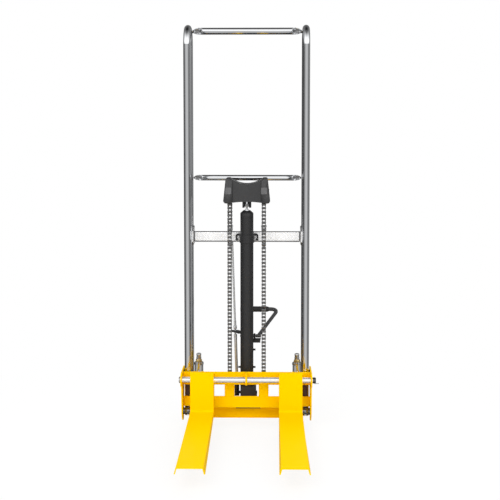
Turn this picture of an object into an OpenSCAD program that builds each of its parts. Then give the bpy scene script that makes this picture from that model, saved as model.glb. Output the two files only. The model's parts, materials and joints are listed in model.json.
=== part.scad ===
// Hand pallet stacker: a chromed tube mast, a foot-pumped ram in the middle, two roller chains over
// a travelling head, and a yellow carriage with two pressed forks.
// The frame is in millimetres with +Z up and the floor at Z = 0. The forks point to -Y and the
// person who pumps stands on the +Y side. Inside at_mast(), Y = 0 is the axis of the front mast legs.

/* [Mast] */
// Outside diameter of the mast tubes
tube_d = 30; // [29:0.5:31]
// Wall of the mast tubes
tube_wall = 2.5; // [2:0.5:4]
// From the middle plane to the axis of each mast tube
mast_x = 256; // [255:0.5:257]
// From the front leg to the rear leg of one mast tube
mast_depth = 145; // [143:1:147]
// Overall height of the mast
mast_top = 1745; // [1740:5:1800]
// Height of the cut ends of the mast tubes
mast_foot = 46; // [44:1:50]
// Diameter of the middle cross bar
cross_bar_d = 25; // [22:1:26]
// Height of the middle cross bar
cross_bar_z = 1077; // [1060:1:1100]
// Height of the middle of the flat tie bar
tie_bar_z = 822; // [818:1:824]

/* [Lift] */
// Travel of the ram; the carriage travels twice as far
ram_stroke = 705; // [400:5:705]
// Axis of the lift cylinder, behind the front mast legs
cylinder_y = 38; // [37:0.5:39]
// Outside diameter of the lift cylinder
cylinder_d = 57; // [55:0.5:58]
// Top of the gland nut
gland_top = 941; // [938:1:942]
// Diameter of the chromed ram
ram_d = 22; // [20:0.5:22]
// Height of the chain wheel axle when the forks are down
wheel_z = 1030; // [1029:0.5:1031]
// From the middle plane to each chain
chain_x = 74; // [73:0.5:75]
// Links in the hanging strand of each lift chain, an even number
front_links = 52; // [50, 52]

/* [Carriage and forks] */
// Outside width over the carriage side plates
carriage_w = 564; // [562:1:568]
// Sheet thickness of the carriage plates
plate_t = 6; // [5:0.5:6]
// Diameter of the shaft that carries the forks
shaft_d = 24; // [22:0.5:25]
// Length of the forks from tip to heel
fork_l = 650; // [620:10:650]
// Width of one fork
fork_w = 100; // [95:1:100]
// Depth of the fork's folded sides
fork_side = 25; // [20:1:26]
// Sheet thickness of the forks
fork_t = 5; // [4:0.5:6]
// Top of the lowered forks
fork_top = 88; // [87:0.5:90]
// From the middle plane to the middle of each fork
fork_x = 190; // [186:1:190]

/* [Base] */
// Diameter of the load rollers under the forks
load_roller_d = 50; // [46:1:50]
// Length of the straddle legs in front of the mast
leg_reach = 490; // [400:5:500]
// Diameter of the rear caster wheels
caster_d = 100; // [96:1:100]
// From the middle plane to each caster's stem
caster_x = 227; // [226:0.5:228]
// Caster stems, behind the front mast legs
caster_y = 245; // [245:1:248]

/* [Hidden] */

$fn = 48;
fit = 0.05;               // radial clearance of a running fit
cut = 1;                  // overshoot of a cutting solid
soft_fn = 32;             // sides of a circle inside a hull

// Front mast legs in the object's own frame, whose origin is under the middle of the whole
mast_y = 208;

tube_r = tube_d / 2;
bend_r = mast_depth / 2;
bend_z = mast_top - tube_r - bend_r;
tube_inner_x = mast_x - tube_r;

// The handle bar meets the tube bend at this many degrees from the bend's rear end
handle_angle = 62;
handle_y = bend_r + bend_r * cos(handle_angle);
handle_z = bend_z + bend_r * sin(handle_angle);
handle_taper_x = 194;
handle_tongue_x = 226;
cross_taper_x = 204;
cross_tongue_x = 230;
handle_tongue = [8, -28];   // thickness and tilt of the tongue, which lies along the tube's bend
cross_tongue = [6, 0];

// Lift cylinder and pump block
cylinder_r = cylinder_d / 2;
cylinder_bore_r = 17.5;
ram_r = ram_d / 2;
block_z = [70, 168];
block_y = [8, 132];
block_x = [-28, 40];
gland_base = gland_top - 26;
bleed_screws = [[-1, 248], [1, 248], [1, 326]];

// Roller chain with a 15.875 mm pitch
chain_pitch = 15.875;
roller_r = 5.08;
inner_width = 9.65;
link_t = 2;
link_gap = 0.15;
inner_link_r = 7.5;
outer_link_r = 6.6;
link_waist = 0.72;
link_pin_r = 2.5;
link_pin_stub = 0.9;
inner_face = inner_width / 2;
outer_face = inner_face + link_t + link_gap;

// The chain wheel: the chain's pins lie on a circle of radius wheel_r, half a turn apart
wheel_teeth = 14;
wheel_r = chain_pitch / (2 * sin(180 / wheel_teeth));
wheel_tip_r = 38.6;
wheel_tooth_w = 9;
wheel_hub_r = 21;
wheel_hub_w = 24;
wheel_bore_r = 10;
wrap_links = wheel_teeth / 2;
rear_links = 10;
// The last seated pin in front sits this many degrees above the axle, and the one behind as far below
wheel_turn = 5.6;
front_chain_y = cylinder_y - wheel_r * cos(wheel_turn);
rear_chain_y = cylinder_y + wheel_r * cos(wheel_turn);
front_top_z = wheel_z + wheel_r * sin(wheel_turn);
rear_top_z = wheel_z - wheel_r * sin(wheel_turn);
front_end_z = front_top_z - front_links * chain_pitch;
rear_end_z = rear_top_z - rear_links * chain_pitch;

// Threaded studs that hold the chain ends
stud_r = 5;
clevis_slot = 14;
clevis_cheek = 4;

// Head: yoke, axle and cover
yoke_gap = 23;
yoke_leg = 7.5;
yoke_foot_z = 953;
ram_top_z = 1000;
axle_core_r = 14;
axle_core_x = chain_x - wheel_hub_w / 2 - 0.3;
axle_end_x = 90;
cover_y = [-10.5, 86.5];
cover_z = [975, 1084];
cover_half_bottom = 101;
cover_half_top = 91.5;
cover_wall = 4;
saddle_dip_z = 1058;
saddle_r = 113;
arch_top_z = 982;
arch_r = 460;
cover_boss_r = 14;

// Tie bar
tie_h = 45;
tie_depth = 20;
tie_wall = 3;
tie_y = cylinder_y + cylinder_r + 0.2;
tie_plate_t = 5;
tie_half = tube_inner_x - tie_plate_t;
tie_top = tie_bar_z + tie_h / 2;
tie_bottom = tie_bar_z - tie_h / 2;
clamp_z = tie_bar_z - 4;
clamp_h = 36;
clamp_t = 4;
clamp_bolt_x = 46;
clamp_bolt_r = 4;
clamp_drop = 10;
clamp_hook_x = 38;

// Carriage
side_x = carriage_w / 2;
plate_y = -28;
plate_back = plate_y + plate_t;
upper_plate_z = [187, 243];
lower_plate_z = [86, 136];
shaft_y = -72;
shaft_z = 220;
shaft_r = shaft_d / 2;
shaft_ends = [-290, 298];
pin_x = 291;
pin_wire_r = 1.6;
pin_tip_x = 303;
tab_w = 40;
shelf_z = [160, 168];
shelf_back = 16;

// Guide rollers, hollow-faced to run on the mast tubes
roller_gap = 0.3;
roller_waist_r = 13.5;
roller_edge_r = 17;
roller_w = 23;
roller_offset = tube_r + roller_gap + roller_waist_r;
roller_pin_r = 6;
upper_roller_z = 225;
lower_roller_z = 71;

// Forks
heel_y = -95;
heel_r = 10;
fork_tip_y = heel_y - fork_l;
fork_head_z = 257;
fork_back = plate_y - 0.3;

// Base
beam_y = [20, 70];
beam_z = [25, 70];
beam_wall = 4;
side_plate_x = [229, 244];
leg_w = 60;
leg_z = [22, 52];
leg_wall = 4;
leg_cheek = 6;
load_r = load_roller_d / 2;
load_y = -leg_reach + load_r;
load_roller_w = 44;
load_pin_r = 8;

// Casters
caster_r = caster_d / 2;
caster_w = 32;
caster_trail = 32;
caster_axle_y = caster_y + caster_trail;
caster_axle_r = 6;
crown_z = caster_d + 12;
crown_t = 5;
caster_cheek = [20, 24];
sleeve_z = [140, 215];
sleeve_r = 21;
stem_r = 10;
brake_pin = [caster_y + 12, caster_d + 6];

// Pump and pedal
plunger_y = cylinder_y + 74;
plunger_r = 7;
barrel_r = 16;
barrel_top = 290;
pedal_pivot = [cylinder_y + 40, 378];
pedal_half_swing = 17.5;
cam_arm = plunger_y - pedal_pivot.x;
cam_r = 8;
cam = pedal_pivot + cam_arm * [cos(pedal_half_swing), sin(pedal_half_swing)];
cap_r = 12;
cap_t = 6;
plunger_top = cam.y - cam_r - roller_gap;
// The pedal's shaft turns in two ears; the rod is welded to a hub outside the right ear
pedal_shaft_r = 5;
pedal_shaft_x = [-31, 62];
hub_r = 9;
hub_x = [-19.5, 29.5];
outer_hub_r = 7.5;
outer_hub_x = [38, 61];
ear_t = 7;
ear_x = [-27, 30];
bracket_x = [-27, 59];
bracket_z = [352, 365];
pedal_rod_r = 7.5;
// The pedal's bent rod: root at the hub, outer corner, and the two ends of the foot bar
pedal_root = [51, 79.8, 379.8];
pedal_corner = [141, 270, 459];
pedal_bar_x = [-32, 96];
sleeve_wall = 5;

// Release gear
rod_y = 98;
rod_r = 4.5;
rod_low = [-44, rod_y, 119];
rod_high = [-66.7, rod_y, 815];
rod_lean = atan((rod_high.x - rod_low.x) / (rod_high.z - rod_low.z));
rod_length = norm(rod_high - rod_low);
link_hole_r = 3.4;
release_pin_r = 2.5;
lever_arm = 22;
lever_half_swing = 10;
lever_pivot = [rod_high.x, rod_y + lever_arm * cos(lever_half_swing),
               rod_high.z + lever_arm * sin(lever_half_swing)];
lever_pin_r = 4;
lever_hub_r = 8;
lever_hub_w = 20;
lever_ear_t = 4;
lever_knob = [lever_pivot.x, 232, 803];
knob_r = 12;
valve_reach = 18;
valve_half_swing = 12.3;
valve_pivot = [block_x[0], rod_y - valve_reach * cos(valve_half_swing),
               rod_low.z + valve_reach * sin(valve_half_swing)];
guide_z = 395;
guide_t = 5;

yellow = [1.0, 0.80, 0.02];
black = [0.15, 0.15, 0.16];
chrome = [0.80, 0.81, 0.83];
zinc = [0.72, 0.73, 0.74];
rubber = [0.10, 0.10, 0.10];

// Shapes used by several sub-parts

module at_mast() translate([0, mast_y, 0]) children();

module both_sides()
    for (side = [-1, 1])
        mirror([side < 0 ? 1 : 0, 0, 0]) children();

// A round bar along X with its middle at X = 0
module bar_x(r, l) rotate([0, 90, 0]) cylinder(r = r, h = l, center = true);

// A round bar along X between two X values
module bar_from(r, from_x, to_x) translate([from_x, 0, 0]) rotate([0, 90, 0]) cylinder(r = r, h = to_x - from_x);

module ring_x(outer, inner, l)
    difference() {
        bar_x(outer, l);
        bar_x(inner, l + 2 * cut);
    }

// An upright ring
module ring_z(outer, inner, low, high)
    translate([0, 0, low])
        difference() {
            cylinder(r = outer, h = high - low);
            translate([0, 0, -cut]) cylinder(r = inner, h = high - low + 2 * cut);
        }

// A plate from X = 0 to X = t whose outline is drawn as (Y, Z)
module plate_x(t) rotate([90, 0, 90]) linear_extrude(t) children();

module block(low, high) translate(low) cube(high - low);

// A straight arm with round ends between two drawn points
module arm_2d(a, b, ra, rb)
    hull() {
        translate(a) circle(ra, $fn = soft_fn);
        translate(b) circle(rb, $fn = soft_fn);
    }

module hex_x(across, t) rotate([0, 90, 0]) cylinder(d = across / cos(30), h = t, $fn = 6);
module hex_z(across, t) cylinder(d = across / cos(30), h = t, $fn = 6);

function unit(v) = v / norm(v);

// Points round the corner b of a path a-b-c, starting and ending a distance d from b
function rounded_corner(a, b, c, d, steps) =
    let (p = b + d * unit(a - b), q = b + d * unit(c - b))
    [for (i = [0:steps]) let (t = i / steps) (1 - t) * (1 - t) * p + 2 * t * (1 - t) * b + t * t * q];

// The direction of a path at point i
function tangent(path, i) = unit(path[min(i + 1, len(path) - 1)] - path[max(i - 1, 0)]);

// One closed tube swept along a path of points. side_hint must never be parallel to the path.
module swept_tube(path, r, sides, side_hint) {
    n = len(path);
    rings = [for (i = [0:n - 1])
        let (t = tangent(path, i), u = unit(cross(side_hint, t)), v = cross(t, u))
        for (k = [0:sides - 1]) path[i] + r * (cos(360 * k / sides) * u + sin(360 * k / sides) * v)];
    walls = [for (i = [0:n - 2], k = [0:sides - 1])
        let (a = i * sides + k, b = i * sides + (k + 1) % sides)
        each [[a, a + sides, b], [b, a + sides, b + sides]]];
    first_cap = [for (k = [1:sides - 2]) [0, k, k + 1]];
    last_cap = [for (k = [1:sides - 2]) [(n - 1) * sides, (n - 1) * sides + k + 1, (n - 1) * sides + k]];
    polyhedron(rings, concat(walls, first_cap, last_cap));
}

// Mast

module tube_ring()
    difference() {
        circle(tube_r);
        circle(tube_r - tube_wall);
    }

module mast_tube(side)
    at_mast() color(chrome)
        translate([side * mast_x, 0, 0]) {
            for (y = [0, mast_depth])
                translate([0, y, mast_foot])
                    linear_extrude(bend_z - mast_foot) tube_ring();
            translate([0, bend_r, bend_z])
                rotate([90, 0, 90])
                    rotate_extrude(angle = 180) translate([bend_r, 0]) tube_ring();
        }

module mast_tube_left() mast_tube(-1);
module mast_tube_right() mast_tube(1);

// A round bar whose ends are squeezed to flat tongues that reach the mast tubes
module pinched_bar(r, taper_x, tongue_x, tongue) {
    bar_x(r, 2 * taper_x);
    both_sides() {
        hull() {
            translate([taper_x, 0, 0]) bar_x(r, 0.5, $fn = soft_fn);
            translate([tongue_x, 0, 0]) rotate([tongue[1], 0, 0]) cube([0.5, 2.2 * r, tongue[0]], center = true);
        }
        rotate([tongue[1], 0, 0])
            block([tongue_x, -1.1 * r, -tongue[0] / 2], [tube_inner_x + 4, 1.1 * r, tongue[0] / 2]);
    }
}

module handle_bar()
    at_mast() color(chrome)
        difference() {
            translate([0, handle_y, handle_z])
                pinched_bar(tube_r, handle_taper_x, handle_tongue_x, handle_tongue);
            both_sides()
                translate([mast_x, bend_r, bend_z])
                    rotate([90, 0, 90])
                        rotate_extrude(angle = 180) translate([bend_r, 0]) circle(tube_r);
        }

module middle_cross_bar()
    at_mast() color(chrome)
        difference() {
            translate([0, mast_depth, cross_bar_z])
                pinched_bar(cross_bar_d / 2, cross_taper_x, cross_tongue_x, cross_tongue);
            both_sides()
                translate([mast_x, mast_depth, cross_bar_z - 20]) cylinder(r = tube_r, h = 40);
        }

// The flat bar that steadies the cylinder, with two ears behind it for the release lever
module tie_bar()
    at_mast() color(zinc) {
        difference() {
            block([-tie_half, tie_y, tie_bottom], [tie_half, tie_y + tie_depth, tie_top]);
            block([-tie_half - cut, tie_y + tie_wall, tie_bottom + tie_wall],
                  [tie_half + cut, tie_y + tie_depth - tie_wall, tie_top - tie_wall]);
            both_sides() {
                translate([chain_x, rear_chain_y, tie_bottom - cut]) cylinder(r = stud_r, h = tie_h + 2 * cut);
                translate([clamp_bolt_x, tie_y - cut, clamp_z - clamp_drop])
                    rotate([-90, 0, 0]) cylinder(r = clamp_bolt_r, h = tie_depth + 2 * cut);
            }
        }
        for (side = [-1, 1])
            translate([lever_pivot.x + side * (lever_hub_w / 2 + 0.2 + lever_ear_t / 2) - lever_ear_t / 2, 0, 0])
                plate_x(lever_ear_t)
                    difference() {
                        union() {
                            translate([tie_y + tie_depth, tie_bottom + 4])
                                square([lever_pivot.y - tie_y - tie_depth, 30]);
                            translate([lever_pivot.y, lever_pivot.z]) circle(10);
                        }
                        translate([lever_pivot.y, lever_pivot.z]) circle(lever_pin_r);
                    }
    }

// Plates with sloped corners that join the tie bar to the rear mast legs
module tie_bar_plates()
    at_mast() color(zinc)
        both_sides()
            translate([tie_half, 0, 0])
                plate_x(tie_plate_t)
                    polygon([[tie_y - 5, tie_bar_z - 24], [tie_y + 9, tie_bar_z - 39],
                             [mast_depth + 6, tie_bar_z - 39], [mast_depth + 6, tie_bar_z + 39],
                             [tie_y + 9, tie_bar_z + 39], [tie_y - 5, tie_bar_z + 24]]);

// An ear of the clamp: half a ring whose outer end hangs down to the bolt
module clamp_hook()
    difference() {
        union() {
            translate([clamp_hook_x, 4])
                difference() {
                    circle(12);
                    circle(7);
                    translate([-13, -26]) square([26, 26]);
                }
            translate([clamp_hook_x - 12, -6]) square([5, 10.5]);
            translate([clamp_hook_x + 7, -clamp_drop]) square([5, clamp_drop + 4.5]);
            translate([clamp_bolt_x, -clamp_drop]) circle(8);
        }
        translate([clamp_bolt_x, -clamp_drop]) circle(clamp_bolt_r);
    }

// The strap that holds the cylinder against the tie bar, with a bolted hook on either side
module cylinder_clamp()
    at_mast() color(black) {
        translate([0, cylinder_y, clamp_z - clamp_h / 2])
            linear_extrude(clamp_h)
                difference() {
                    union() {
                        circle(cylinder_r + clamp_t);
                        translate([-cylinder_r - clamp_t, 0]) square([2 * (cylinder_r + clamp_t), tie_y - cylinder_y]);
                    }
                    circle(cylinder_r);
                    translate([-cylinder_r, 0]) square([2 * cylinder_r, cylinder_r + 10]);
                    translate([-50, tie_y - cylinder_y]) square([100, 20]);
                }
        both_sides()
            translate([0, tie_y, clamp_z]) rotate([90, 0, 0]) linear_extrude(clamp_t) clamp_hook();
    }

module clamp_bolts()
    at_mast() color(zinc)
        both_sides()
            translate([clamp_bolt_x, tie_y - clamp_t - 5, clamp_z - clamp_drop])
                rotate([-90, 0, 0]) {
                    rotate(30) hex_z(13, 5);
                    cylinder(r = clamp_bolt_r, h = clamp_t + 5 + tie_depth + 11);
                    translate([0, 0, clamp_t + 5 + tie_depth]) rotate(30) hex_z(12, 7);
                }

// Base

module base_cross_beam()
    at_mast() color(yellow)
        difference() {
            block([-side_plate_x[0], beam_y[0], beam_z[0]], [side_plate_x[0], beam_y[1], beam_z[1]]);
            block([-side_plate_x[0] - cut, beam_y[0] + beam_wall, beam_z[0] + beam_wall],
                  [side_plate_x[0] + cut, beam_y[1] - beam_wall, beam_z[1] - beam_wall]);
        }

// Side plates of the base: the mast tubes are seated in their outer faces, and each reaches back
// over its caster to the stem sleeve
module base_side_plates()
    at_mast() color(yellow)
        both_sides()
            difference() {
                translate([side_plate_x[0], 0, 0])
                    plate_x(side_plate_x[1] - side_plate_x[0])
                        polygon([[-10, 30], [156, 30], [156, 124], [168, 142], [caster_y, 142],
                                 [caster_y, 168], [150, 182], [130, 182], [108, 96], [-10, 96]]);
                for (y = [0, mast_depth])
                    translate([mast_x, y, 0]) cylinder(r = tube_r, h = 250);
                translate([caster_x, caster_y, 100]) cylinder(r = sleeve_r, h = 150);
                translate([side_plate_x[0] - cut, caster_y, 100]) cube([20, 40, 120]);
            }

module straddle_leg(side)
    at_mast() color(yellow)
        translate([side * fork_x, 0, 0]) {
            difference() {
                block([-leg_w / 2, load_y + load_r + 6, leg_z[0]], [leg_w / 2, beam_y[0], leg_z[1]]);
                block([-leg_w / 2 + leg_wall, load_y + load_r + 6 + leg_cheek, leg_z[0] + leg_wall],
                      [leg_w / 2 - leg_wall, beam_y[0] + cut, leg_z[1] - leg_wall]);
            }
            for (end = [-1, 1])
                translate([end * (leg_w - leg_cheek) / 2 - leg_cheek / 2, 0, 0])
                    plate_x(leg_cheek)
                        difference() {
                            union() {
                                translate([load_y, load_r]) circle(15);
                                polygon([[load_y - 10, load_r + 11], [load_y, load_r - 15], [load_y + load_r + 6, 12],
                                         [load_y + load_r + 6, leg_z[1]], [load_y - 4, leg_z[1] - 6]]);
                            }
                            translate([load_y, load_r]) circle(load_pin_r);
                        }
        }

module straddle_leg_left() straddle_leg(-1);
module straddle_leg_right() straddle_leg(1);

module load_roller(side)
    at_mast() color(black)
        translate([side * fork_x, load_y, load_r])
            rotate([0, 90, 0])
                rotate_extrude()
                    polygon([[load_pin_r + fit, -load_roller_w / 2], [load_r - 2, -load_roller_w / 2],
                             [load_r, -load_roller_w / 2 + 2], [load_r, load_roller_w / 2 - 2],
                             [load_r - 2, load_roller_w / 2], [load_pin_r + fit, load_roller_w / 2]]);

module load_roller_left() load_roller(-1);
module load_roller_right() load_roller(1);

// Pins of the frame: two load roller axles and the release lever's pivot
module frame_pins()
    at_mast() color(zinc) {
        both_sides()
            translate([fork_x, load_y, load_r]) bar_x(load_pin_r, leg_w + 2);
        translate(lever_pivot) bar_x(lever_pin_r, lever_hub_w + 2 * lever_ear_t + 6);
    }

module caster_sleeves()
    at_mast() color(chrome)
        both_sides()
            translate([caster_x, caster_y, 0]) ring_z(sleeve_r, stem_r + fit, sleeve_z[0], sleeve_z[1]);

// Lift cylinder and pump

module lift_cylinder()
    at_mast() color(black) {
        translate([0, cylinder_y, 0]) ring_z(cylinder_r, cylinder_bore_r, block_z[1], gland_base);
        for (screw = bleed_screws)
            translate([0, cylinder_y, screw[1]]) {
                bar_from(4, screw[0] > 0 ? cylinder_r - 1 : -cylinder_r - 5, screw[0] > 0 ? cylinder_r + 5 : -cylinder_r + 1);
                translate([screw[0] > 0 ? cylinder_r + 5 : -cylinder_r - 9, 0, 0]) hex_x(7, 4);
            }
    }

module cylinder_gland()
    at_mast() color(black)
        translate([0, cylinder_y, 0])
            rotate_extrude()
                polygon([[ram_r + fit, gland_base], [cylinder_r, gland_base], [cylinder_r, gland_top - 14],
                         [cylinder_r - 3, gland_top - 11], [19, gland_top - 8], [18.5, gland_top - 1],
                         [17.5, gland_top], [ram_r + fit, gland_top]]);

// The cast block under the cylinder, with its valve and the seat of the pump barrel
module pump_block()
    at_mast() color(black)
        difference() {
            union() {
                block([block_x[0], block_y[0], block_z[0] + 12], [block_x[1], block_y[1], block_z[1] - 26]);
                hull() {
                    block([block_x[0], block_y[0], block_z[1] - 30], [block_x[1], block_y[1], block_z[1] - 26]);
                    block([block_x[0], block_y[0] + 4, block_z[1] - 4], [block_x[1] - 10, block_y[1] - 2, block_z[1]]);
                }
                block([-48, beam_y[0] - 6, block_z[0]], [60, beam_y[1] + 40, block_z[0] + 12]);
            }
            translate([0, valve_pivot.y, valve_pivot.z]) bar_from(6 + fit, block_x[0] - cut, block_x[0] + 24);
            translate([0, plunger_y, block_z[1] - 6]) cylinder(r = barrel_r, h = 20);
        }

module pump_barrel()
    at_mast() color(black)
        translate([0, plunger_y, 0]) {
            ring_z(barrel_r, plunger_r + fit, block_z[1] - 6, barrel_top - 8);
            ring_z(barrel_r - 3, plunger_r + fit, barrel_top - 8, barrel_top);
        }

// The bracket welded behind the cylinder, with two ears for the pedal's shaft
module pedal_bracket()
    at_mast() color(black) {
        difference() {
            block([bracket_x[0], cylinder_y + 18, bracket_z[0]], [bracket_x[1], 92, bracket_z[1]]);
            translate([0, cylinder_y, 340]) cylinder(r = cylinder_r, h = 40);
        }
        for (x = ear_x)
            translate([x, 0, 0])
                plate_x(ear_t)
                    difference() {
                        union() {
                            translate([pedal_pivot.x - 11, bracket_z[1]]) square([22, pedal_pivot.y - bracket_z[1]]);
                            translate(pedal_pivot) circle(11);
                        }
                        translate(pedal_pivot) circle(pedal_shaft_r + fit);
                    }
    }

// The plate beside the cylinder that guides the release rod
module rod_guide()
    at_mast() color(black) {
        difference() {
            translate([0, 0, guide_z - guide_t / 2])
                linear_extrude(guide_t)
                    difference() {
                        polygon([[-16, 52], [-30, 52], [-69, 88], [-69, 108], [-40, 108], [-16, 76]]);
                        translate([0, cylinder_y]) circle(cylinder_r);
                        translate([rod_at(guide_z), rod_y]) circle(rod_r + 0.6);
                    }
        }
        translate([-38, 84, guide_z - guide_t / 2 - 6]) hex_z(10, 6);
    }

function rod_at(z) = rod_low.x + (rod_high.x - rod_low.x) * (z - rod_low.z) / (rod_high.z - rod_low.z);

// Lift chains

function link_turn(a, b) = atan2(b.y - a.y, b.x - a.x);

// The outline of a link plate from a pin at the origin to the next pin
module link_outline(r, holes) {
    difference() {
        union() {
            for (y = [0, chain_pitch]) translate([y, 0]) circle(r);
            translate([0, -r * link_waist]) square([chain_pitch, 2 * r * link_waist]);
        }
        for (y = holes) translate([y, 0]) circle(link_pin_r + fit);
    }
}

// One link between two pins a and b, given as (Y, Z); holes are drilled at 0 or one pitch
module chain_link(a, b, inner, holes) {
    face = inner ? inner_face : outer_face;
    for (x = [face, -face - link_t])
        translate([x, a.x, a.y])
            rotate([link_turn(a, b), 0, 0])
                plate_x(link_t) link_outline(inner ? inner_link_r : outer_link_r, holes);
}

// A pin with its roller
module chain_pin(p)
    translate([0, p.x, p.y]) {
        bar_x(roller_r, inner_width);
        bar_x(link_pin_r, 2 * (outer_face + link_t + link_pin_stub));
    }

// The roller round a pin that belongs to the end clevis
module end_roller(p)
    translate([0, p.x, p.y]) ring_x(roller_r, link_pin_r + fit, inner_width);

// Pins over the wheel from its rear side to its front side, then down to the carriage
front_pins = concat(
    [for (k = [0:wrap_links]) [cylinder_y + wheel_r * cos(360 * k / wheel_teeth - wheel_turn),
                               wheel_z + wheel_r * sin(360 * k / wheel_teeth - wheel_turn)]],
    [for (k = [1:front_links]) [front_chain_y, front_top_z - k * chain_pitch]]);
rear_pins = [for (k = [0:rear_links]) [rear_chain_y, rear_top_z - k * chain_pitch]];

module front_chain() {
    last = len(front_pins) - 1;
    for (k = [0:last - 1]) {
        chain_link(front_pins[k], front_pins[k + 1], k % 2 == 0, k == last - 1 ? [chain_pitch] : []);
        chain_pin(front_pins[k]);
    }
    end_roller(front_pins[last]);
}

module rear_chain() {
    last = len(rear_pins) - 1;
    for (k = [0:last - 1]) {
        chain_link(rear_pins[k], rear_pins[k + 1], k % 2 == 1,
                   k == 0 ? [0] : k == last - 1 ? [chain_pitch] : []);
        if (k > 0) chain_pin(rear_pins[k]);
    }
    end_roller(rear_pins[last]);
}

module front_chain_left() at_mast() color(black) translate([-chain_x, 0, 0]) front_chain();
module front_chain_right() at_mast() color(black) translate([chain_x, 0, 0]) front_chain();

module rear_chains()
    at_mast() color(black)
        for (side = [-1, 1]) translate([side * chain_x, 0, 0]) rear_chain();

// A threaded stud with a clevis for the chain's last link; pin_z is the height of the clevis pin,
// and the plate that it passes through lies between plate_low and plate_high
module chain_stud(pin_z, plate_low, plate_high) {
    block([-clevis_slot / 2 - clevis_cheek, -7, pin_z - 19], [clevis_slot / 2 + clevis_cheek, 7, pin_z - 9]);
    for (side = [-1, 1])
        translate([side * (clevis_slot + clevis_cheek) / 2 - clevis_cheek / 2, 0, pin_z])
            plate_x(clevis_cheek)
                union() {
                    circle(7);
                    translate([-7, -9]) square([14, 9]);
                }
    translate([0, 0, pin_z]) bar_x(link_pin_r, clevis_slot + 2 * clevis_cheek + 3);
    translate([0, 0, plate_low - 17]) cylinder(r = stud_r, h = pin_z - 19 - plate_low + 17);
    translate([0, 0, plate_low - 8]) hex_z(16, 8);
    translate([0, 0, plate_high]) hex_z(16, min(7, pin_z - 19.5 - plate_high));
}

module mast_chain_studs()
    at_mast() color(zinc)
        both_sides() translate([chain_x, rear_chain_y, 0]) chain_stud(rear_end_z, tie_bottom, tie_top);

module carriage_chain_studs()
    at_mast() color(zinc)
        both_sides() translate([chain_x, front_chain_y, 0]) chain_stud(front_end_z, shelf_z[0], shelf_z[1]);

// Travelling head

module lift_ram()
    at_mast() color(chrome)
        translate([0, cylinder_y, 0]) {
            rotate_extrude()
                polygon([[0, 182], [cylinder_bore_r - fit, 182], [cylinder_bore_r - fit, 200], [ram_r, 202],
                         [ram_r, gland_top + 4], [ram_r - 3.5, gland_top + 6], [ram_r - 3.5, gland_top + 9],
                         [ram_r, gland_top + 14], [ram_r, gland_top + 26], [ram_r - 2, gland_top + 30],
                         [ram_r - 2, ram_top_z], [0, ram_top_z]]);
        }

// Two legs hang from a block over the ram's end and carry the wheel axle
module head_yoke()
    at_mast() color(black) {
        for (side = [-1, 1])
            translate([side * (yoke_gap + yoke_leg) / 2 - yoke_leg / 2, 0, 0])
                plate_x(yoke_leg)
                    difference() {
                        union() {
                            translate([cylinder_y, wheel_z]) circle(22);
                            translate([cylinder_y - 16, yoke_foot_z]) square([32, wheel_z - yoke_foot_z]);
                        }
                        translate([cylinder_y, wheel_z]) circle(axle_core_r);
                    }
        difference() {
            block([-yoke_gap / 2, cylinder_y - 16, ram_top_z - 18], [yoke_gap / 2, cylinder_y + 16, ram_top_z + 12]);
            translate([0, cylinder_y, ram_top_z - 19]) cylinder(r = ram_r - 2, h = 19);
        }
    }

module wheel_axle()
    at_mast() color(zinc)
        translate([0, cylinder_y, wheel_z]) {
            bar_x(axle_core_r, 2 * axle_core_x);
            bar_x(wheel_bore_r, 2 * axle_end_x);
            both_sides()
                translate([chain_x + wheel_hub_w / 2 + 1, 0, 0]) ring_x(wheel_bore_r + 3, wheel_bore_r, 1.4);
        }

// A toothed wheel whose gaps seat the chain's rollers
module chain_wheel(side)
    at_mast() color(zinc)
        translate([side * chain_x, cylinder_y, wheel_z])
            difference() {
                union() {
                    translate([-wheel_tooth_w / 2, 0, 0])
                        plate_x(wheel_tooth_w)
                            difference() {
                                circle(wheel_tip_r);
                                for (k = [0:wheel_teeth - 1])
                                    rotate(360 * k / wheel_teeth - wheel_turn) {
                                        translate([wheel_r, 0]) circle(roller_r + 0.2);
                                        polygon([[wheel_r, -roller_r - 0.2], [wheel_tip_r + 2, -roller_r - 2.9],
                                                 [wheel_tip_r + 2, roller_r + 2.9], [wheel_r, roller_r + 0.2]]);
                                    }
                            }
                    bar_x(wheel_hub_r, wheel_hub_w);
                }
                bar_x(wheel_bore_r + fit, wheel_hub_w + 2 * cut);
            }

module chain_wheel_left() chain_wheel(-1);
module chain_wheel_right() chain_wheel(1);

// The cover's outline from the front; inset shrinks it evenly
module cover_front(inset)
    difference() {
        hull()
            for (side = [-1, 1]) {
                translate([side * (cover_half_bottom - 12), cover_z[0] + 12 - 2 * inset]) circle(12 - inset, $fn = soft_fn);
                translate([side * (cover_half_top - 9), cover_z[1] - 9]) circle(9 - inset, $fn = soft_fn);
            }
        translate([0, saddle_dip_z + saddle_r]) circle(saddle_r + inset, $fn = 96);
        if (inset == 0)
            translate([0, arch_top_z - arch_r]) circle(arch_r, $fn = 180);
    }

// The cover's outline from the side
module cover_side(inset)
    hull() {
        for (y = [cover_y[0] + 12, cover_y[1] - 12])
            translate([y, cover_z[1] - 12]) circle(12 - inset, $fn = soft_fn);
        translate([cover_y[0] + inset, cover_z[0] - 12]) square([cover_y[1] - cover_y[0] - 2 * inset, 1]);
    }

module cover_form(inset)
    intersection() {
        translate([0, 150, 0]) rotate([90, 0, 0]) linear_extrude(200) cover_front(inset);
        translate([-150, 0, 0]) plate_x(300) cover_side(inset);
    }

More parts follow.
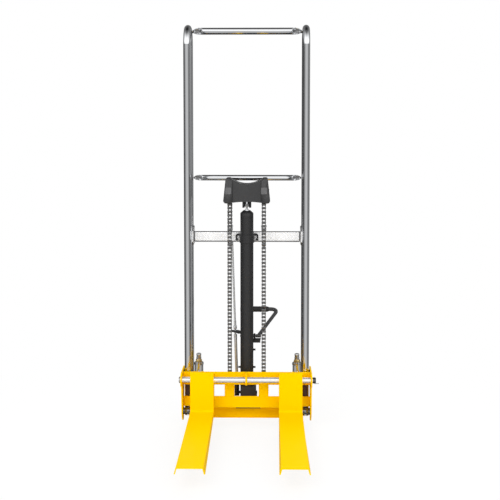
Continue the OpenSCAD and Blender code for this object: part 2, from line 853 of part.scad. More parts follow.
// The moulded cover over both chain wheels: open below, with a saddle between two raised ends
module chain_cover()
    at_mast() color(black) {
        difference() {
            cover_form(0);
            cover_form(cover_wall);
            block([-61, cover_y[0] - cut, cover_z[0] - 20], [61, cover_y[0] + 2, cover_z[1] + 10]);
            block([-61, cover_y[1] - 2, cover_z[0] - 20], [61, cover_y[1] + cut, cover_z[1] + 10]);
            both_sides()
                block([70, cover_y[0] - cut, 1010], [88, cover_y[0] + 1.5, 1042]);
        }
        both_sides()
            translate([90.5, cylinder_y, wheel_z]) ring_x(cover_boss_r, wheel_bore_r, 5);
    }

// Carriage

module carriage_side_outline() {
    hull() {
        translate([shaft_y, shaft_z]) circle(30, $fn = soft_fn);
        translate([60, 232]) circle(15, $fn = soft_fn);
        translate([roller_offset, upper_roller_z - 8]) circle(26, $fn = soft_fn);
    }
    hull() {
        translate([-roller_offset, lower_roller_z]) circle(18, $fn = soft_fn);
        translate([-8, 44]) circle(19, $fn = soft_fn);
        translate([roller_offset - 8, upper_roller_z - 20]) circle(26, $fn = soft_fn);
        translate([-40, shaft_z - 8]) circle(26, $fn = soft_fn);
    }
}

module carriage_side(side)
    at_mast() color(yellow)
        translate([side > 0 ? side_x - plate_t : -side_x, 0, 0])
            plate_x(plate_t)
                difference() {
                    carriage_side_outline();
                    translate([shaft_y, shaft_z]) circle(shaft_r);
                    translate([roller_offset, upper_roller_z]) circle(roller_pin_r);
                    translate([-roller_offset, lower_roller_z]) circle(roller_pin_r);
                }

module carriage_side_left() carriage_side(-1);
module carriage_side_right() carriage_side(1);

// The upper plate with the lug that steadies the middle of the fork shaft
module carriage_upper_plate()
    at_mast() color(yellow) {
        block([-side_x + plate_t, plate_y, upper_plate_z[0]], [side_x - plate_t, plate_back, upper_plate_z[1]]);
        translate([-4, 0, 0])
            plate_x(8)
                difference() {
                    union() {
                        translate([shaft_y, shaft_z]) circle(23);
                        polygon([[shaft_y, shaft_z + 23], [plate_y, upper_plate_z[1]], [plate_y, upper_plate_z[0]],
                                 [shaft_y + 6, shaft_z - 22]]);
                    }
                    translate([shaft_y, shaft_z]) circle(shaft_r);
                }
    }

// The lower plate, notched at both ends above the lower guide rollers
module carriage_lower_plate()
    at_mast() color(yellow)
        difference() {
            block([-side_x + plate_t, plate_y, lower_plate_z[0]], [side_x - plate_t, plate_back, lower_plate_z[1]]);
            both_sides()
                block([mast_x - 18, plate_y - cut, lower_plate_z[0] - cut],
                      [side_x, plate_back + cut, lower_roller_z + roller_edge_r + 4]);
        }

// Upright tabs between the two plates, each with a gusseted shelf for a chain stud
module chain_tabs()
    at_mast() color(yellow)
        both_sides()
            translate([chain_x - tab_w / 2, 0, 0]) {
                block([0, plate_y, lower_plate_z[1]], [tab_w, plate_back, upper_plate_z[0]]);
                difference() {
                    block([0, plate_back, shelf_z[0]], [tab_w, shelf_back, shelf_z[1]]);
                    translate([tab_w / 2, front_chain_y, shelf_z[0] - cut])
                        cylinder(r = stud_r, h = shelf_z[1] - shelf_z[0] + 2 * cut);
                }
                for (x = [0, tab_w - 4])
                    translate([x, 0, 0])
                        plate_x(4)
                            polygon([[plate_back, lower_plate_z[1] + 2], [plate_back, shelf_z[0]], [shelf_back - 6, shelf_z[0]]]);
            }

module fork_shaft()
    at_mast() color(chrome)
        translate([0, shaft_y, shaft_z])
            difference() {
                bar_from(shaft_r, shaft_ends[0], shaft_ends[1]);
                translate([pin_x, 0, -shaft_r - cut]) cylinder(r = pin_wire_r + fit, h = 2 * shaft_r + 2 * cut);
            }

// The wire pin through the shaft's right end, with its lower end bent outwards
module shaft_pin()
    at_mast() color(zinc)
        translate([pin_x, shaft_y, shaft_z]) {
            translate([0, 0, -shaft_r - 2]) cylinder(r = pin_wire_r, h = 2 * shaft_r + 5);
            translate([-pin_wire_r, 0, -shaft_r - 2])
                rotate([0, 90, 0]) cylinder(r = pin_wire_r, h = pin_tip_x - pin_x + pin_wire_r);
        }

// Pins of the four guide rollers, each with a collar against the side plate and a head
module roller_pin(y, z)
    translate([0, y, z]) {
        bar_from(roller_pin_r, mast_x - 15, side_x);
        bar_from(9, mast_x + roller_w / 2 + 0.3, side_x - plate_t);
        bar_from(9, mast_x - 16, mast_x - roller_w / 2 - 0.4);
    }

module roller_pins()
    at_mast() color(zinc)
        both_sides() {
            roller_pin(roller_offset, upper_roller_z);
            roller_pin(-roller_offset, lower_roller_z);
        }

module guide_roller(side, y, z)
    at_mast() color(zinc)
        translate([side * mast_x, y, z])
            rotate([0, 90, 0])
                rotate_extrude()
                    difference() {
                        translate([roller_pin_r + fit, -roller_w / 2])
                            square([roller_edge_r - roller_pin_r - fit, roller_w]);
                        translate([roller_offset, 0]) circle(tube_r + roller_gap, $fn = 64);
                    }

module guide_roller_upper_left() guide_roller(-1, roller_offset, upper_roller_z);
module guide_roller_upper_right() guide_roller(1, roller_offset, upper_roller_z);
module guide_roller_lower_left() guide_roller(-1, -roller_offset, lower_roller_z);
module guide_roller_lower_right() guide_roller(1, -roller_offset, lower_roller_z);

// The folded sides of a fork, as (Y, Z)
module fork_side_outline()
    difference() {
        polygon([[fork_tip_y, fork_top], [fork_tip_y, fork_top - fork_side], [-60, fork_top - fork_side],
                 [-52, 94], [fork_back, 120], [fork_back, 236], [heel_y + fork_t, fork_head_z],
                 [heel_y, fork_head_z], [heel_y, fork_top + heel_r], [heel_y - heel_r, fork_top]]);
        translate([heel_y - heel_r, fork_top + heel_r]) circle(heel_r);
        translate([shaft_y, shaft_z]) circle(shaft_r + fit);
    }

// The sheet that is bent at the heel, seen from the side
module fork_sheet_outline() {
    translate([heel_y, fork_top + heel_r]) square([fork_t, fork_head_z - fork_top - heel_r]);
    translate([fork_tip_y, fork_top - fork_t]) square([fork_l - heel_r, fork_t]);
    intersection() {
        translate([heel_y - heel_r, fork_top + heel_r])
            difference() {
                circle(heel_r + fork_t);
                circle(heel_r);
            }
        translate([heel_y - heel_r, fork_top - fork_t]) square([heel_r + fork_t, heel_r + fork_t]);
    }
}

// A fork pressed as an inverted channel that hangs on the shaft and leans on the lower plate
module fork(side)
    at_mast() color(yellow)
        translate([side * fork_x - fork_w / 2, 0, 0]) {
            plate_x(fork_w) fork_sheet_outline();
            for (x = [0, fork_w - fork_t])
                translate([x, 0, 0]) plate_x(fork_t) fork_side_outline();
        }

module fork_left() fork(-1);
module fork_right() fork(1);

// Foot pump

// The foot lever: a shaft with two hubs, two cam arms that press the plunger, and a bent rod
module pedal_lever()
    at_mast() color(black) {
        bar_start = [pedal_bar_x[1], pedal_corner.y, pedal_corner.z];
        bar_end = [pedal_bar_x[0], pedal_corner.y, pedal_corner.z];
        rod_path = concat([pedal_root], rounded_corner(pedal_root, pedal_corner, bar_end, 40, 10), [bar_start, bar_end]);
        translate([0, pedal_pivot.x, pedal_pivot.y]) {
            bar_from(pedal_shaft_r, pedal_shaft_x[0], pedal_shaft_x[1]);
            bar_from(hub_r, hub_x[0], hub_x[1]);
            bar_from(outer_hub_r, outer_hub_x[0], outer_hub_x[1]);
        }
        swept_tube(rod_path, pedal_rod_r, 16, [0, -1, 2]);
        for (x = [-11, 7])
            translate([x, 0, 0])
                plate_x(4)
                    difference() {
                        arm_2d(pedal_pivot, cam, 7, 4);
                        translate(pedal_pivot) circle(hub_r - 1);
                    }
        translate([0, cam.x, cam.y]) {
            bar_x(cam_r, 13);
            bar_x(3, 26);
        }
    }

module pedal_sleeve()
    at_mast() color(rubber)
        translate([0, pedal_corner.y, pedal_corner.z])
            difference() {
                bar_from(pedal_rod_r + sleeve_wall, pedal_bar_x[0] - 3, pedal_bar_x[1] - 2);
                bar_from(pedal_rod_r, pedal_bar_x[0], pedal_bar_x[1]);
            }

module pump_plunger()
    at_mast() color(chrome)
        translate([0, plunger_y, 0]) {
            translate([0, 0, 192]) cylinder(r = plunger_r, h = plunger_top - cap_t - 192);
            translate([0, 0, plunger_top - cap_t]) cylinder(r = cap_r, h = cap_t);
        }

// The pump's return spring, one unbroken coil between the barrel and the plunger's cap
spring_r = 9.6;
spring_wire_r = 1.3;
spring_turns = 9;
spring_steps = 12;
spring_low = barrel_top + spring_wire_r;
spring_high = plunger_top - cap_t - spring_wire_r;
spring_points = [for (i = [0:spring_turns * spring_steps])
    let (turn = i / spring_steps, s = turn / spring_turns)
    [spring_r * cos(360 * turn), spring_r * sin(360 * turn), spring_low + s * (spring_high - spring_low)]];
spring_gap = (spring_high - spring_low) / spring_turns - 2 * spring_wire_r;
echo(least_spring_gap = spring_gap);

module plunger_spring()
    at_mast() color(zinc)
        translate([0, plunger_y, 0]) swept_tube(spring_points, spring_wire_r, 8, [0, 0, 1]);

// Release gear

module release_lever()
    at_mast() color(black) {
        difference() {
            union() {
                translate(lever_pivot) bar_x(lever_hub_r, lever_hub_w);
                translate([lever_pivot.x + 3.2, 0, 0])
                    plate_x(5) arm_2d([lever_pivot.y, lever_pivot.z], [rod_high.y, rod_high.z], 7, 6);
                hull() {
                    translate(lever_pivot) sphere(5.5, $fn = 16);
                    translate(lever_knob) sphere(4.5, $fn = 16);
                }
            }
            translate(lever_pivot) bar_x(lever_pin_r + fit, lever_hub_w + 2 * cut);
        }
        translate(lever_knob) sphere(knob_r);
        translate([0, rod_high.y, rod_high.z]) bar_from(release_pin_r, lever_pivot.x - 5, lever_pivot.x + 4);
    }

// The pull rod in its own leaning frame: clevis below, stop collars by the guide, flat eye on top
module release_rod()
    at_mast() color(zinc)
        translate(rod_low)
            rotate([0, rod_lean, 0]) {
                difference() {
                    translate([0, 0, -9]) cylinder(r = 8, h = 55);
                    block([-3.2, -10, -10], [3.2, 10, 14]);
                    bar_x(link_hole_r, 20);
                }
                translate([0, 0, 46]) cylinder(r = rod_r, h = rod_length - 46 - 12);
                for (z = [guide_z - rod_low.z - 24, guide_z - rod_low.z + 10])
                    translate([0, 0, z]) cylinder(r = 7.5, h = 8);
                difference() {
                    translate([-2.5, 0, rod_length])
                        plate_x(5)
                            union() {
                                circle(7);
                                translate([-rod_r, -14]) square([2 * rod_r, 14]);
                            }
                    translate([0, 0, rod_length]) bar_x(link_hole_r, 20);
                }
            }

module valve_arm()
    at_mast() color(black) {
        translate([0, valve_pivot.y, valve_pivot.z]) bar_from(6, rod_low.x - 2.5, block_x[0] + 20);
        translate([rod_low.x - 2.5, 0, 0])
            plate_x(5) arm_2d([valve_pivot.y, valve_pivot.z], [rod_low.y, rod_low.z], 8, 5.5);
        translate([rod_low.x, rod_low.y, rod_low.z]) bar_x(release_pin_r, 15);
    }

// Casters

// The swivelling fork with its stem, stem nut and cap; the wheel's axle is riveted in
module caster_fork(side)
    at_mast() color(zinc)
        translate([side * caster_x, 0, 0]) {
            translate([0, caster_y, 0]) {
                translate([0, 0, crown_z]) cylinder(r = 27, h = crown_t);
                translate([0, 0, crown_z + crown_t]) cylinder(r = 24, h = sleeve_z[0] - crown_z - crown_t - 8);
                translate([0, 0, crown_z]) cylinder(r = 17, h = sleeve_z[0] - crown_z - 0.3);
                translate([0, 0, crown_z]) cylinder(r = stem_r, h = 110);
                translate([0, 0, sleeve_z[1] + 0.3]) hex_z(26, 13.5);
                translate([0, 0, sleeve_z[1] + 13.8])
                    rotate_extrude() polygon([[0, 0], [11.5, 0], [11.5, 17], [10, 23], [6, 27], [0, 28]]);
            }
            for (x = [-caster_cheek[1], caster_cheek[0]])
                translate([x, 0, 0])
                    plate_x(caster_cheek[1] - caster_cheek[0])
                        difference() {
                            union() {
                                translate([caster_axle_y, caster_r]) circle(13);
                                polygon([[caster_y - 18, crown_z + crown_t], [caster_axle_y - 13, caster_r - 2],
                                         [caster_axle_y + 13, caster_r], [caster_y + 24, crown_z + crown_t]]);
                            }
                            translate(brake_pin) circle(3.05);
                        }
            translate([0, caster_axle_y, caster_r]) {
                bar_x(caster_axle_r, 2 * caster_cheek[1]);
                both_sides() translate([caster_cheek[1], 0, 0]) hex_x(18, 6);
            }
        }

module caster_fork_left() caster_fork(-1);
module caster_fork_right() caster_fork(1);

module caster_wheel(side)
    at_mast() color(rubber)
        translate([side * caster_x, caster_axle_y, caster_r])
            rotate([0, 90, 0])
                rotate_extrude()
                    polygon([[caster_axle_r + fit, -caster_w / 2 - 2], [15, -caster_w / 2 - 2], [16, -caster_w / 2 + 6],
                             [33, -caster_w / 2 + 6], [36, -caster_w / 2], [caster_r - 4, -caster_w / 2],
                             [caster_r, -caster_w / 2 + 5], [caster_r, caster_w / 2 - 5],
                             [caster_r - 4, caster_w / 2], [36, caster_w / 2], [33, caster_w / 2 - 6],
                             [16, caster_w / 2 - 6], [15, caster_w / 2 + 2], [caster_axle_r + fit, caster_w / 2 + 2]]);

module caster_wheel_left() caster_wheel(-1);
module caster_wheel_right() caster_wheel(1);

// The brake lever: pivoted under the crown, with a tread plate behind that presses on the tyre
module caster_brake(side)
    at_mast() color(black)
        translate([side * caster_x, 0, 0]) {
            translate([0, brake_pin.x, brake_pin.y]) {
                bar_x(3, 2 * caster_cheek[1]);
                bar_x(4, 38);
            }
            translate([-14, 0, 0])
                plate_x(28)
                    polygon([[brake_pin.x, brake_pin.y], [brake_pin.x + 3, brake_pin.y - 3],
                             [caster_axle_y + 14, caster_d + 4], [caster_axle_y + 36, caster_d - 8],
                             [caster_axle_y + 50, caster_d - 6], [caster_axle_y + 50, caster_d - 2],
                             [caster_axle_y + 38, caster_d - 4], [caster_axle_y + 16, caster_d + 8.5],
                             [brake_pin.x + 2, brake_pin.y + 3]]);
        }

module caster_brake_left() caster_brake(-1);
module caster_brake_right() caster_brake(1);

mast_tube_left();
mast_tube_right();
handle_bar();
middle_cross_bar();
tie_bar();
tie_bar_plates();
cylinder_clamp();
clamp_bolts();
base_cross_beam();
base_side_plates();
straddle_leg_left();
straddle_leg_right();
frame_pins();
caster_sleeves();
lift_cylinder();
cylinder_gland();
pump_block();
pump_barrel();
pedal_bracket();
rod_guide();
mast_chain_studs();
rear_chains();
lift_ram();
head_yoke();
wheel_axle();
chain_cover();
front_chain_left();
front_chain_right();
chain_wheel_left();
chain_wheel_right();
carriage_side_left();
carriage_side_right();
carriage_upper_plate();
carriage_lower_plate();
chain_tabs();
carriage_chain_studs();
fork_shaft();
shaft_pin();
roller_pins();
guide_roller_upper_left();
guide_roller_upper_right();
guide_roller_lower_left();
guide_roller_lower_right();
fork_left();
fork_right();
load_roller_left();
load_roller_right();
pedal_lever();
pedal_sleeve();
pump_plunger();
plunger_spring();
release_lever();
release_rod();
valve_arm();
caster_fork_left();
caster_fork_right();
caster_wheel_left();
caster_wheel_right();
caster_brake_left();
caster_brake_right();
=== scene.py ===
# %% [markdown]
# # A hand pallet stacker, dressed in Blender
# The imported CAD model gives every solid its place: the mast, the pump, the chains, the carriage and the
# casters. This lesson keeps those places and gives each piece the skin of the real machine. Powder coat,
# hard chrome, zinc, moulded plastic and rubber are built from nodes, and chains, springs, edges, welds and
# grips that a plain solid leaves out are modelled as geometry. All lengths are in metres, +Z is up, the
# forks point to -Y and the person who pumps stands on the +Y side.

# %% Load the frame
import json
import math
import random

import bmesh
import bpy
from mathutils import Matrix, Vector

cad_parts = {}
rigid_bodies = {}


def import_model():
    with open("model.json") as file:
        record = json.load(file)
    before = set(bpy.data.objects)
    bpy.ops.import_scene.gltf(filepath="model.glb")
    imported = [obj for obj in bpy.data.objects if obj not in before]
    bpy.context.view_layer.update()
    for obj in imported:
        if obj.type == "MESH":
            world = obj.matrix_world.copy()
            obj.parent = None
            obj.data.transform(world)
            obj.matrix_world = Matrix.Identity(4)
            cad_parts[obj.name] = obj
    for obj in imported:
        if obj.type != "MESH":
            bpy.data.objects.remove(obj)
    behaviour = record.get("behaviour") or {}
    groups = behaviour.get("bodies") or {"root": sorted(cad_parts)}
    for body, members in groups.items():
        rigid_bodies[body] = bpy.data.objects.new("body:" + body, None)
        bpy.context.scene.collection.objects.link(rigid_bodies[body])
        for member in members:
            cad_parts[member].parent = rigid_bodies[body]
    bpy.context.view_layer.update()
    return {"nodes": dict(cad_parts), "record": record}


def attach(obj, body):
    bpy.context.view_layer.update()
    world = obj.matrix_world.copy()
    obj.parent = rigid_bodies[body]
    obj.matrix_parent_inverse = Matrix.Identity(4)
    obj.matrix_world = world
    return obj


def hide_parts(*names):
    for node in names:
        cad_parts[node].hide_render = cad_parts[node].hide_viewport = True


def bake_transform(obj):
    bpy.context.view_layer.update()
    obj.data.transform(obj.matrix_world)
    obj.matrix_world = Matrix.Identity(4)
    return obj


for leftover in list(bpy.data.objects):
    bpy.data.objects.remove(leftover)

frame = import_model()
NODES = frame["nodes"]

# %% [markdown]
# ## The camera first
# A product shot is only comparable with its photograph when both are seen from the same place. The camera
# stands four metres in front of the forks at chest height and looks slightly down. A long lens keeps the
# mast tubes nearly parallel. The small vertical shift plays the part of cropping the photograph: it moves
# the picture's middle without tilting the camera further.

# %% Camera
MAST_Y = 0.208                      # the front mast legs in the row frame
CAMERA_AT = Vector((0.0874, -4.0354 + MAST_Y, 1.3324))
LOOK_DOWN = 0.0672                  # radians below the horizon
LOOK_LEFT = 0.0181                  # radians towards -X
FOCAL_PIXELS = 938.9                # focal length in pixels of a 500 pixel wide picture
PICTURE = 500
AXIS_ABOVE_MIDDLE = 66.5            # pixels from the picture's middle up to the optical axis

camera_data = bpy.data.cameras.new("photo_camera")
camera_data.sensor_width = 36.0
camera_data.lens = FOCAL_PIXELS / PICTURE * camera_data.sensor_width
camera_data.shift_y = -AXIS_ABOVE_MIDDLE / PICTURE
camera = bpy.data.objects.new("photo_camera", camera_data)
bpy.context.scene.collection.objects.link(camera)
looking = Vector((-math.sin(LOOK_LEFT) * math.cos(LOOK_DOWN), math.cos(LOOK_LEFT) * math.cos(LOOK_DOWN),
                  -math.sin(LOOK_DOWN)))
to_right = Vector((math.cos(LOOK_LEFT), math.sin(LOOK_LEFT), 0.0))
to_top = to_right.cross(looking)
camera.matrix_world = Matrix((to_right, to_top, -looking)).transposed().to_4x4()
camera.location = CAMERA_AT
bpy.context.scene.camera = camera
print("lens", round(camera_data.lens, 2), "mm, shift", round(camera_data.shift_y, 3))

# %% [markdown]
# ## Studio
# The object is lit by a pale surround and three large soft lamps. Chrome has no colour of its own, it only
# repeats what stands around it, so the world shows mirror-like surfaces a studio with brighter and darker
# sides, while the camera sees a plain white backdrop. The floor is matt and pale, and it fades into the
# backdrop away from the wheels, so that no horizon cuts the picture.

# %% World and floor
scene = bpy.context.scene
scene.view_settings.view_transform = "Standard"


def node(tree, kind, place=None, **values):
    """A shader node with its inputs set by name or index."""
    made = tree.nodes.new(kind)
    for key, value in values.items():
        if hasattr(made, key):
            setattr(made, key, value)
    for key, value in (place or {}).items():
        made.inputs[key].default_value = value
    return made


def grey_ramp(tree, stops):
    """A colour ramp through (position, grey level) stops, which are given from left to right."""
    made = tree.nodes.new("ShaderNodeValToRGB")
    elements = made.color_ramp.elements
    elements.remove(elements[1])
    elements[0].position, first = stops[0]
    elements[0].color = (first, first, first, 1)
    for at, level in stops[1:]:
        elements.new(at).color = (level, level, level, 1)
    return made


world = bpy.data.worlds.new("studio")
scene.world = world
world.use_nodes = True
tree = world.node_tree
tree.nodes.clear()
direction = node(tree, "ShaderNodeTexCoord")
parts = node(tree, "ShaderNodeSeparateXYZ")
tree.links.new(direction.outputs["Generated"], parts.inputs[0])

# what a mirror sees level with it, from behind over the left side, the front and the right side
flipped = node(tree, "ShaderNodeMath", {1: -1.0}, operation="MULTIPLY")
tree.links.new(parts.outputs["Y"], flipped.inputs[0])
around = node(tree, "ShaderNodeMath", operation="ARCTAN2")
tree.links.new(parts.outputs["X"], around.inputs[0])
tree.links.new(flipped.outputs[0], around.inputs[1])
spread = node(tree, "ShaderNodeMapRange", {"From Min": -math.pi, "From Max": math.pi})
tree.links.new(around.outputs[0], spread.inputs["Value"])
SIDE_STOPS = [(-180, 0.16), (-150, 0.06), (-125, 0.04), (-100, 0.06), (-84, 0.15), (-65, 0.24), (-52, 0.30),
              (-40, 0.50), (-28, 0.62), (-14, 0.60), (0, 0.58), (10, 0.68), (22, 0.64), (34, 0.46), (48, 0.36),
              (64, 0.22), (80, 0.13), (94, 0.20), (108, 0.40), (120, 0.30), (136, 0.14), (156, 0.08), (180, 0.16)]
level_view = grey_ramp(tree, [((angle + 180) / 360, value) for angle, value in SIDE_STOPS])
tree.links.new(spread.outputs[0], level_view.inputs[0])

# what it sees below and above: dark under the bars, brightest a little above level, dimmer overhead
height = node(tree, "ShaderNodeMapRange", {"From Min": -1.0, "From Max": 1.0})
tree.links.new(parts.outputs["Z"], height.inputs["Value"])
UP_STOPS = [(-1.0, 0.08), (-0.92, 0.12), (-0.78, 0.36), (-0.5, 0.85), (-0.1, 1.3), (0.28, 1.6), (0.62, 1.25),
            (0.84, 0.60), (0.95, 0.14), (1.0, 0.16)]
rising_view = grey_ramp(tree, [((up + 1) / 2, value) for up, value in UP_STOPS])
tree.links.new(height.outputs[0], rising_view.inputs[0])
steepness = grey_ramp(tree, [((up + 1) / 2, share) for up, share in
                             [(-1.0, 1.0), (-0.62, 1.0), (-0.36, 0.0), (0.08, 0.0), (0.24, 1.0), (1.0, 1.0)]])
tree.links.new(height.outputs[0], steepness.inputs[0])
mirrored = node(tree, "ShaderNodeMix", data_type="RGBA")
tree.links.new(steepness.outputs[0], mirrored.inputs[0])
tree.links.new(level_view.outputs[0], mirrored.inputs[6])

# above and below, the half of the room behind the machine stays dim
frontness = grey_ramp(tree, [((angle + 180) / 360, share) for angle, share in
                             [(-180, 0.12), (-125, 0.16), (-85, 0.55), (-60, 1.0), (60, 1.0), (85, 0.55), (125, 0.16), (180, 0.12)]])
tree.links.new(spread.outputs[0], frontness.inputs[0])
dimmed = node(tree, "ShaderNodeMix", {0: 1.0}, data_type="RGBA", blend_type="MULTIPLY")
tree.links.new(rising_view.outputs[0], dimmed.inputs[6])
tree.links.new(frontness.outputs[0], dimmed.inputs[7])
tree.links.new(dimmed.outputs[2], mirrored.inputs[7])

ambient = node(tree, "ShaderNodeBackground", {"Color": (1, 1, 1, 1), "Strength": 0.70})
mirror_room = node(tree, "ShaderNodeBackground", {"Strength": 1.0})
tree.links.new(mirrored.outputs[2], mirror_room.inputs["Color"])
backdrop = node(tree, "ShaderNodeBackground", {"Color": (1, 1, 1, 1), "Strength": 1.0})
path = node(tree, "ShaderNodeLightPath")
for_mirrors = node(tree, "ShaderNodeMixShader")
for_camera = node(tree, "ShaderNodeMixShader")
tree.links.new(path.outputs["Is Glossy Ray"], for_mirrors.inputs[0])
tree.links.new(ambient.outputs[0], for_mirrors.inputs[1])
tree.links.new(mirror_room.outputs[0], for_mirrors.inputs[2])
tree.links.new(path.outputs["Is Camera Ray"], for_camera.inputs[0])
tree.links.new(for_mirrors.outputs[0], for_camera.inputs[1])
tree.links.new(backdrop.outputs[0], for_camera.inputs[2])
tree.links.new(for_camera.outputs[0], node(tree, "ShaderNodeOutputWorld").inputs[0])

bpy.ops.mesh.primitive_circle_add(vertices=96, radius=3.2, fill_type="NGON", location=(0, 0, -0.0005))
floor = bpy.context.object
floor.name = "studio_floor"
floor_paint = bpy.data.materials.new("studio_floor")
floor_paint.use_nodes = True
tree = floor_paint.node_tree
tree.nodes.clear()
place = node(tree, "ShaderNodeNewGeometry")
away = node(tree, "ShaderNodeVectorMath", operation="LENGTH")
tree.links.new(place.outputs["Position"], away.inputs[0])
fade = node(tree, "ShaderNodeMapRange", {"From Min": 0.5, "From Max": 1.6, "To Min": 0.88, "To Max": 1.0},
            interpolation_type="SMOOTHSTEP")
tree.links.new(away.outputs["Value"], fade.inputs["Value"])
matt = node(tree, "ShaderNodeBsdfDiffuse", {"Color": (0.88, 0.88, 0.88, 1)})
glow = node(tree, "ShaderNodeEmission", {"Color": (1, 1, 1, 1), "Strength": 1.0})
open_below = node(tree, "ShaderNodeBsdfTransparent")
path = node(tree, "ShaderNodeLightPath")
seen = node(tree, "ShaderNodeMath", operation="MULTIPLY")
tree.links.new(fade.outputs[0], seen.inputs[0])
tree.links.new(path.outputs["Is Camera Ray"], seen.inputs[1])
both = node(tree, "ShaderNodeMixShader")
tree.links.new(seen.outputs[0], both.inputs[0])
tree.links.new(matt.outputs[0], both.inputs[1])
tree.links.new(glow.outputs[0], both.inputs[2])
for_mirrors = node(tree, "ShaderNodeMixShader")
tree.links.new(path.outputs["Is Glossy Ray"], for_mirrors.inputs[0])
tree.links.new(both.outputs[0], for_mirrors.inputs[1])
tree.links.new(open_below.outputs[0], for_mirrors.inputs[2])
tree.links.new(for_mirrors.outputs[0], node(tree, "ShaderNodeOutputMaterial").inputs[0])
floor.data.materials.append(floor_paint)
print("floor and world ready")

# %% Lamps


def soft_lamp(name, at, aim, size, power):
    """A large square area lamp at a point, aimed at another."""
    data = bpy.data.lights.new(name, "AREA")
    data.shape = "SQUARE"
    data.size = size
    data.energy = power
    lamp = bpy.data.objects.new(name, data)
    lamp.location = at
    lamp.visible_glossy = False      # mirrors see the studio that the world paints, not the lamps
    lamp.rotation_euler = (Vector(aim) - Vector(at)).to_track_quat("-Z", "Y").to_euler()
    scene.collection.objects.link(lamp)
    return lamp


soft_lamp("key", (-1.8, -2.9, 3.4), (0, -0.1, 0.4), 2.6, 96)
soft_lamp("fill", (2.2, -2.9, 2.4), (0, -0.1, 0.4), 2.6, 44)
soft_lamp("rim", (0.6, 3.2, 2.8), (0, 0, 0.8), 2.4, 55)

# %% [markdown]
# ## Finishes
# Every finish starts from the same recipe: a plain colour that the light renders as it is written, a fine
# bump for the texture that a hand would feel, and a soft variation of roughness so that highlights break up
# as they do on real metal. The scale of each noise is set in waves per metre of the object.

# %% Finish helper


def finish_of(name, colour, second=None, metallic=0.0, rough=(0.4, 0.5), grain=(300.0, 0.02), streak=None,
              coat=0.0, patch=6.0, spec=0.5, tint=None):
    """A procedural material: two close colours in soft patches, varying roughness and a fine bump."""
    made = bpy.data.materials.new(name)
    made.use_nodes = True
    tree = made.node_tree
    shader = tree.nodes["Principled BSDF"]
    shader.inputs["Metallic"].default_value = metallic
    shader.inputs["Coat Weight"].default_value = coat
    shader.inputs["Coat Roughness"].default_value = 0.12
    shader.inputs["Specular IOR Level"].default_value = spec
    if tint:
        shader.inputs["Specular Tint"].default_value = (*tint, 1)
    place = node(tree, "ShaderNodeTexCoord")
    stretched = node(tree, "ShaderNodeMapping", {"Scale": streak or (1, 1, 1)})
    tree.links.new(place.outputs["Object"], stretched.inputs[0])
    clouds = node(tree, "ShaderNodeTexNoise", {"Scale": patch, "Detail": 4.0, "Roughness": 0.6})
    tree.links.new(stretched.outputs[0], clouds.inputs["Vector"])
    blend = node(tree, "ShaderNodeMix", data_type="RGBA")
    blend.inputs[6].default_value = (*colour, 1)
    blend.inputs[7].default_value = (*(second or colour), 1)
    tree.links.new(clouds.outputs["Fac"], blend.inputs[0])
    tree.links.new(blend.outputs[2], shader.inputs["Base Color"])
    polish = node(tree, "ShaderNodeMapRange", {"From Min": 0.3, "From Max": 0.7, "To Min": rough[0], "To Max": rough[1]})
    tree.links.new(clouds.outputs["Fac"], polish.inputs["Value"])
    tree.links.new(polish.outputs[0], shader.inputs["Roughness"])
    skin = node(tree, "ShaderNodeTexNoise", {"Scale": grain[0], "Detail": 3.0})
    tree.links.new(stretched.outputs[0], skin.inputs["Vector"])
    bump = node(tree, "ShaderNodeBump", {"Strength": grain[1], "Distance": 0.001})
    tree.links.new(skin.outputs["Fac"], bump.inputs["Height"])
    tree.links.new(bump.outputs[0], shader.inputs["Normal"])
    return made


YELLOW = finish_of("yellow_powder_coat", (0.98, 0.605, 0.0), (0.97, 0.585, 0.0), rough=(0.30, 0.38),
                   grain=(900.0, 0.05), patch=3.0, spec=0.03, tint=(1.0, 0.62, 0.02))
# a deeper orange copy of the yellow paint: painted shade for the base cross beam, which lies in shadow under the
# carriage
YELLOW_WITH_PAINTED_SHADE = finish_of("yellow_powder_coat_painted_shade", (1.0, 0.57, 0.0), (1.0, 0.55, 0.0), rough=(0.30, 0.38),
                          grain=(900.0, 0.05), patch=3.0, spec=0.03, tint=(1.0, 0.62, 0.02))
NICKEL = finish_of("bright_caster_plating", (0.86, 0.85, 0.83), (0.62, 0.60, 0.56), metallic=1.0, rough=(0.10, 0.2),
                   grain=(200.0, 0.25), patch=60.0)
BLACK = finish_of("black_satin_paint", (0.016, 0.016, 0.017), (0.022, 0.022, 0.023), rough=(0.38, 0.48),
                  grain=(700.0, 0.06), patch=8.0, spec=0.4)
CAST = finish_of("black_painted_casting", (0.022, 0.022, 0.023), (0.034, 0.034, 0.035), rough=(0.50, 0.62),
                 grain=(420.0, 0.45), patch=20.0)
CHROME = finish_of("hard_chrome", (0.80, 0.81, 0.82), (0.76, 0.77, 0.79), metallic=1.0, rough=(0.05, 0.10),
                   grain=(120.0, 0.004), patch=5.0)
SHAFT = finish_of("bright_shaft", (0.97, 0.97, 0.97), (0.93, 0.93, 0.93), metallic=0.68, rough=(0.12, 0.2),
                  grain=(500.0, 0.02), streak=(3.0, 0.2, 0.2), patch=30.0)
ZINC = finish_of("bright_zinc", (0.72, 0.73, 0.74), (0.64, 0.65, 0.66), metallic=1.0, rough=(0.22, 0.34),
                 grain=(350.0, 0.05), patch=14.0)
BRUSHED = finish_of("brushed_tie_bar", (0.95, 0.95, 0.95), (0.93, 0.93, 0.93), metallic=0.25, rough=(0.24, 0.3),
                    grain=(300.0, 0.0), streak=(0.05, 1.0, 1.0), patch=8.0)
ROLLER_STEEL = finish_of("ground_roller_steel", (0.27, 0.265, 0.26), (0.19, 0.187, 0.185), metallic=1.0,
                         rough=(0.14, 0.24), grain=(500.0, 0.03), patch=25.0)
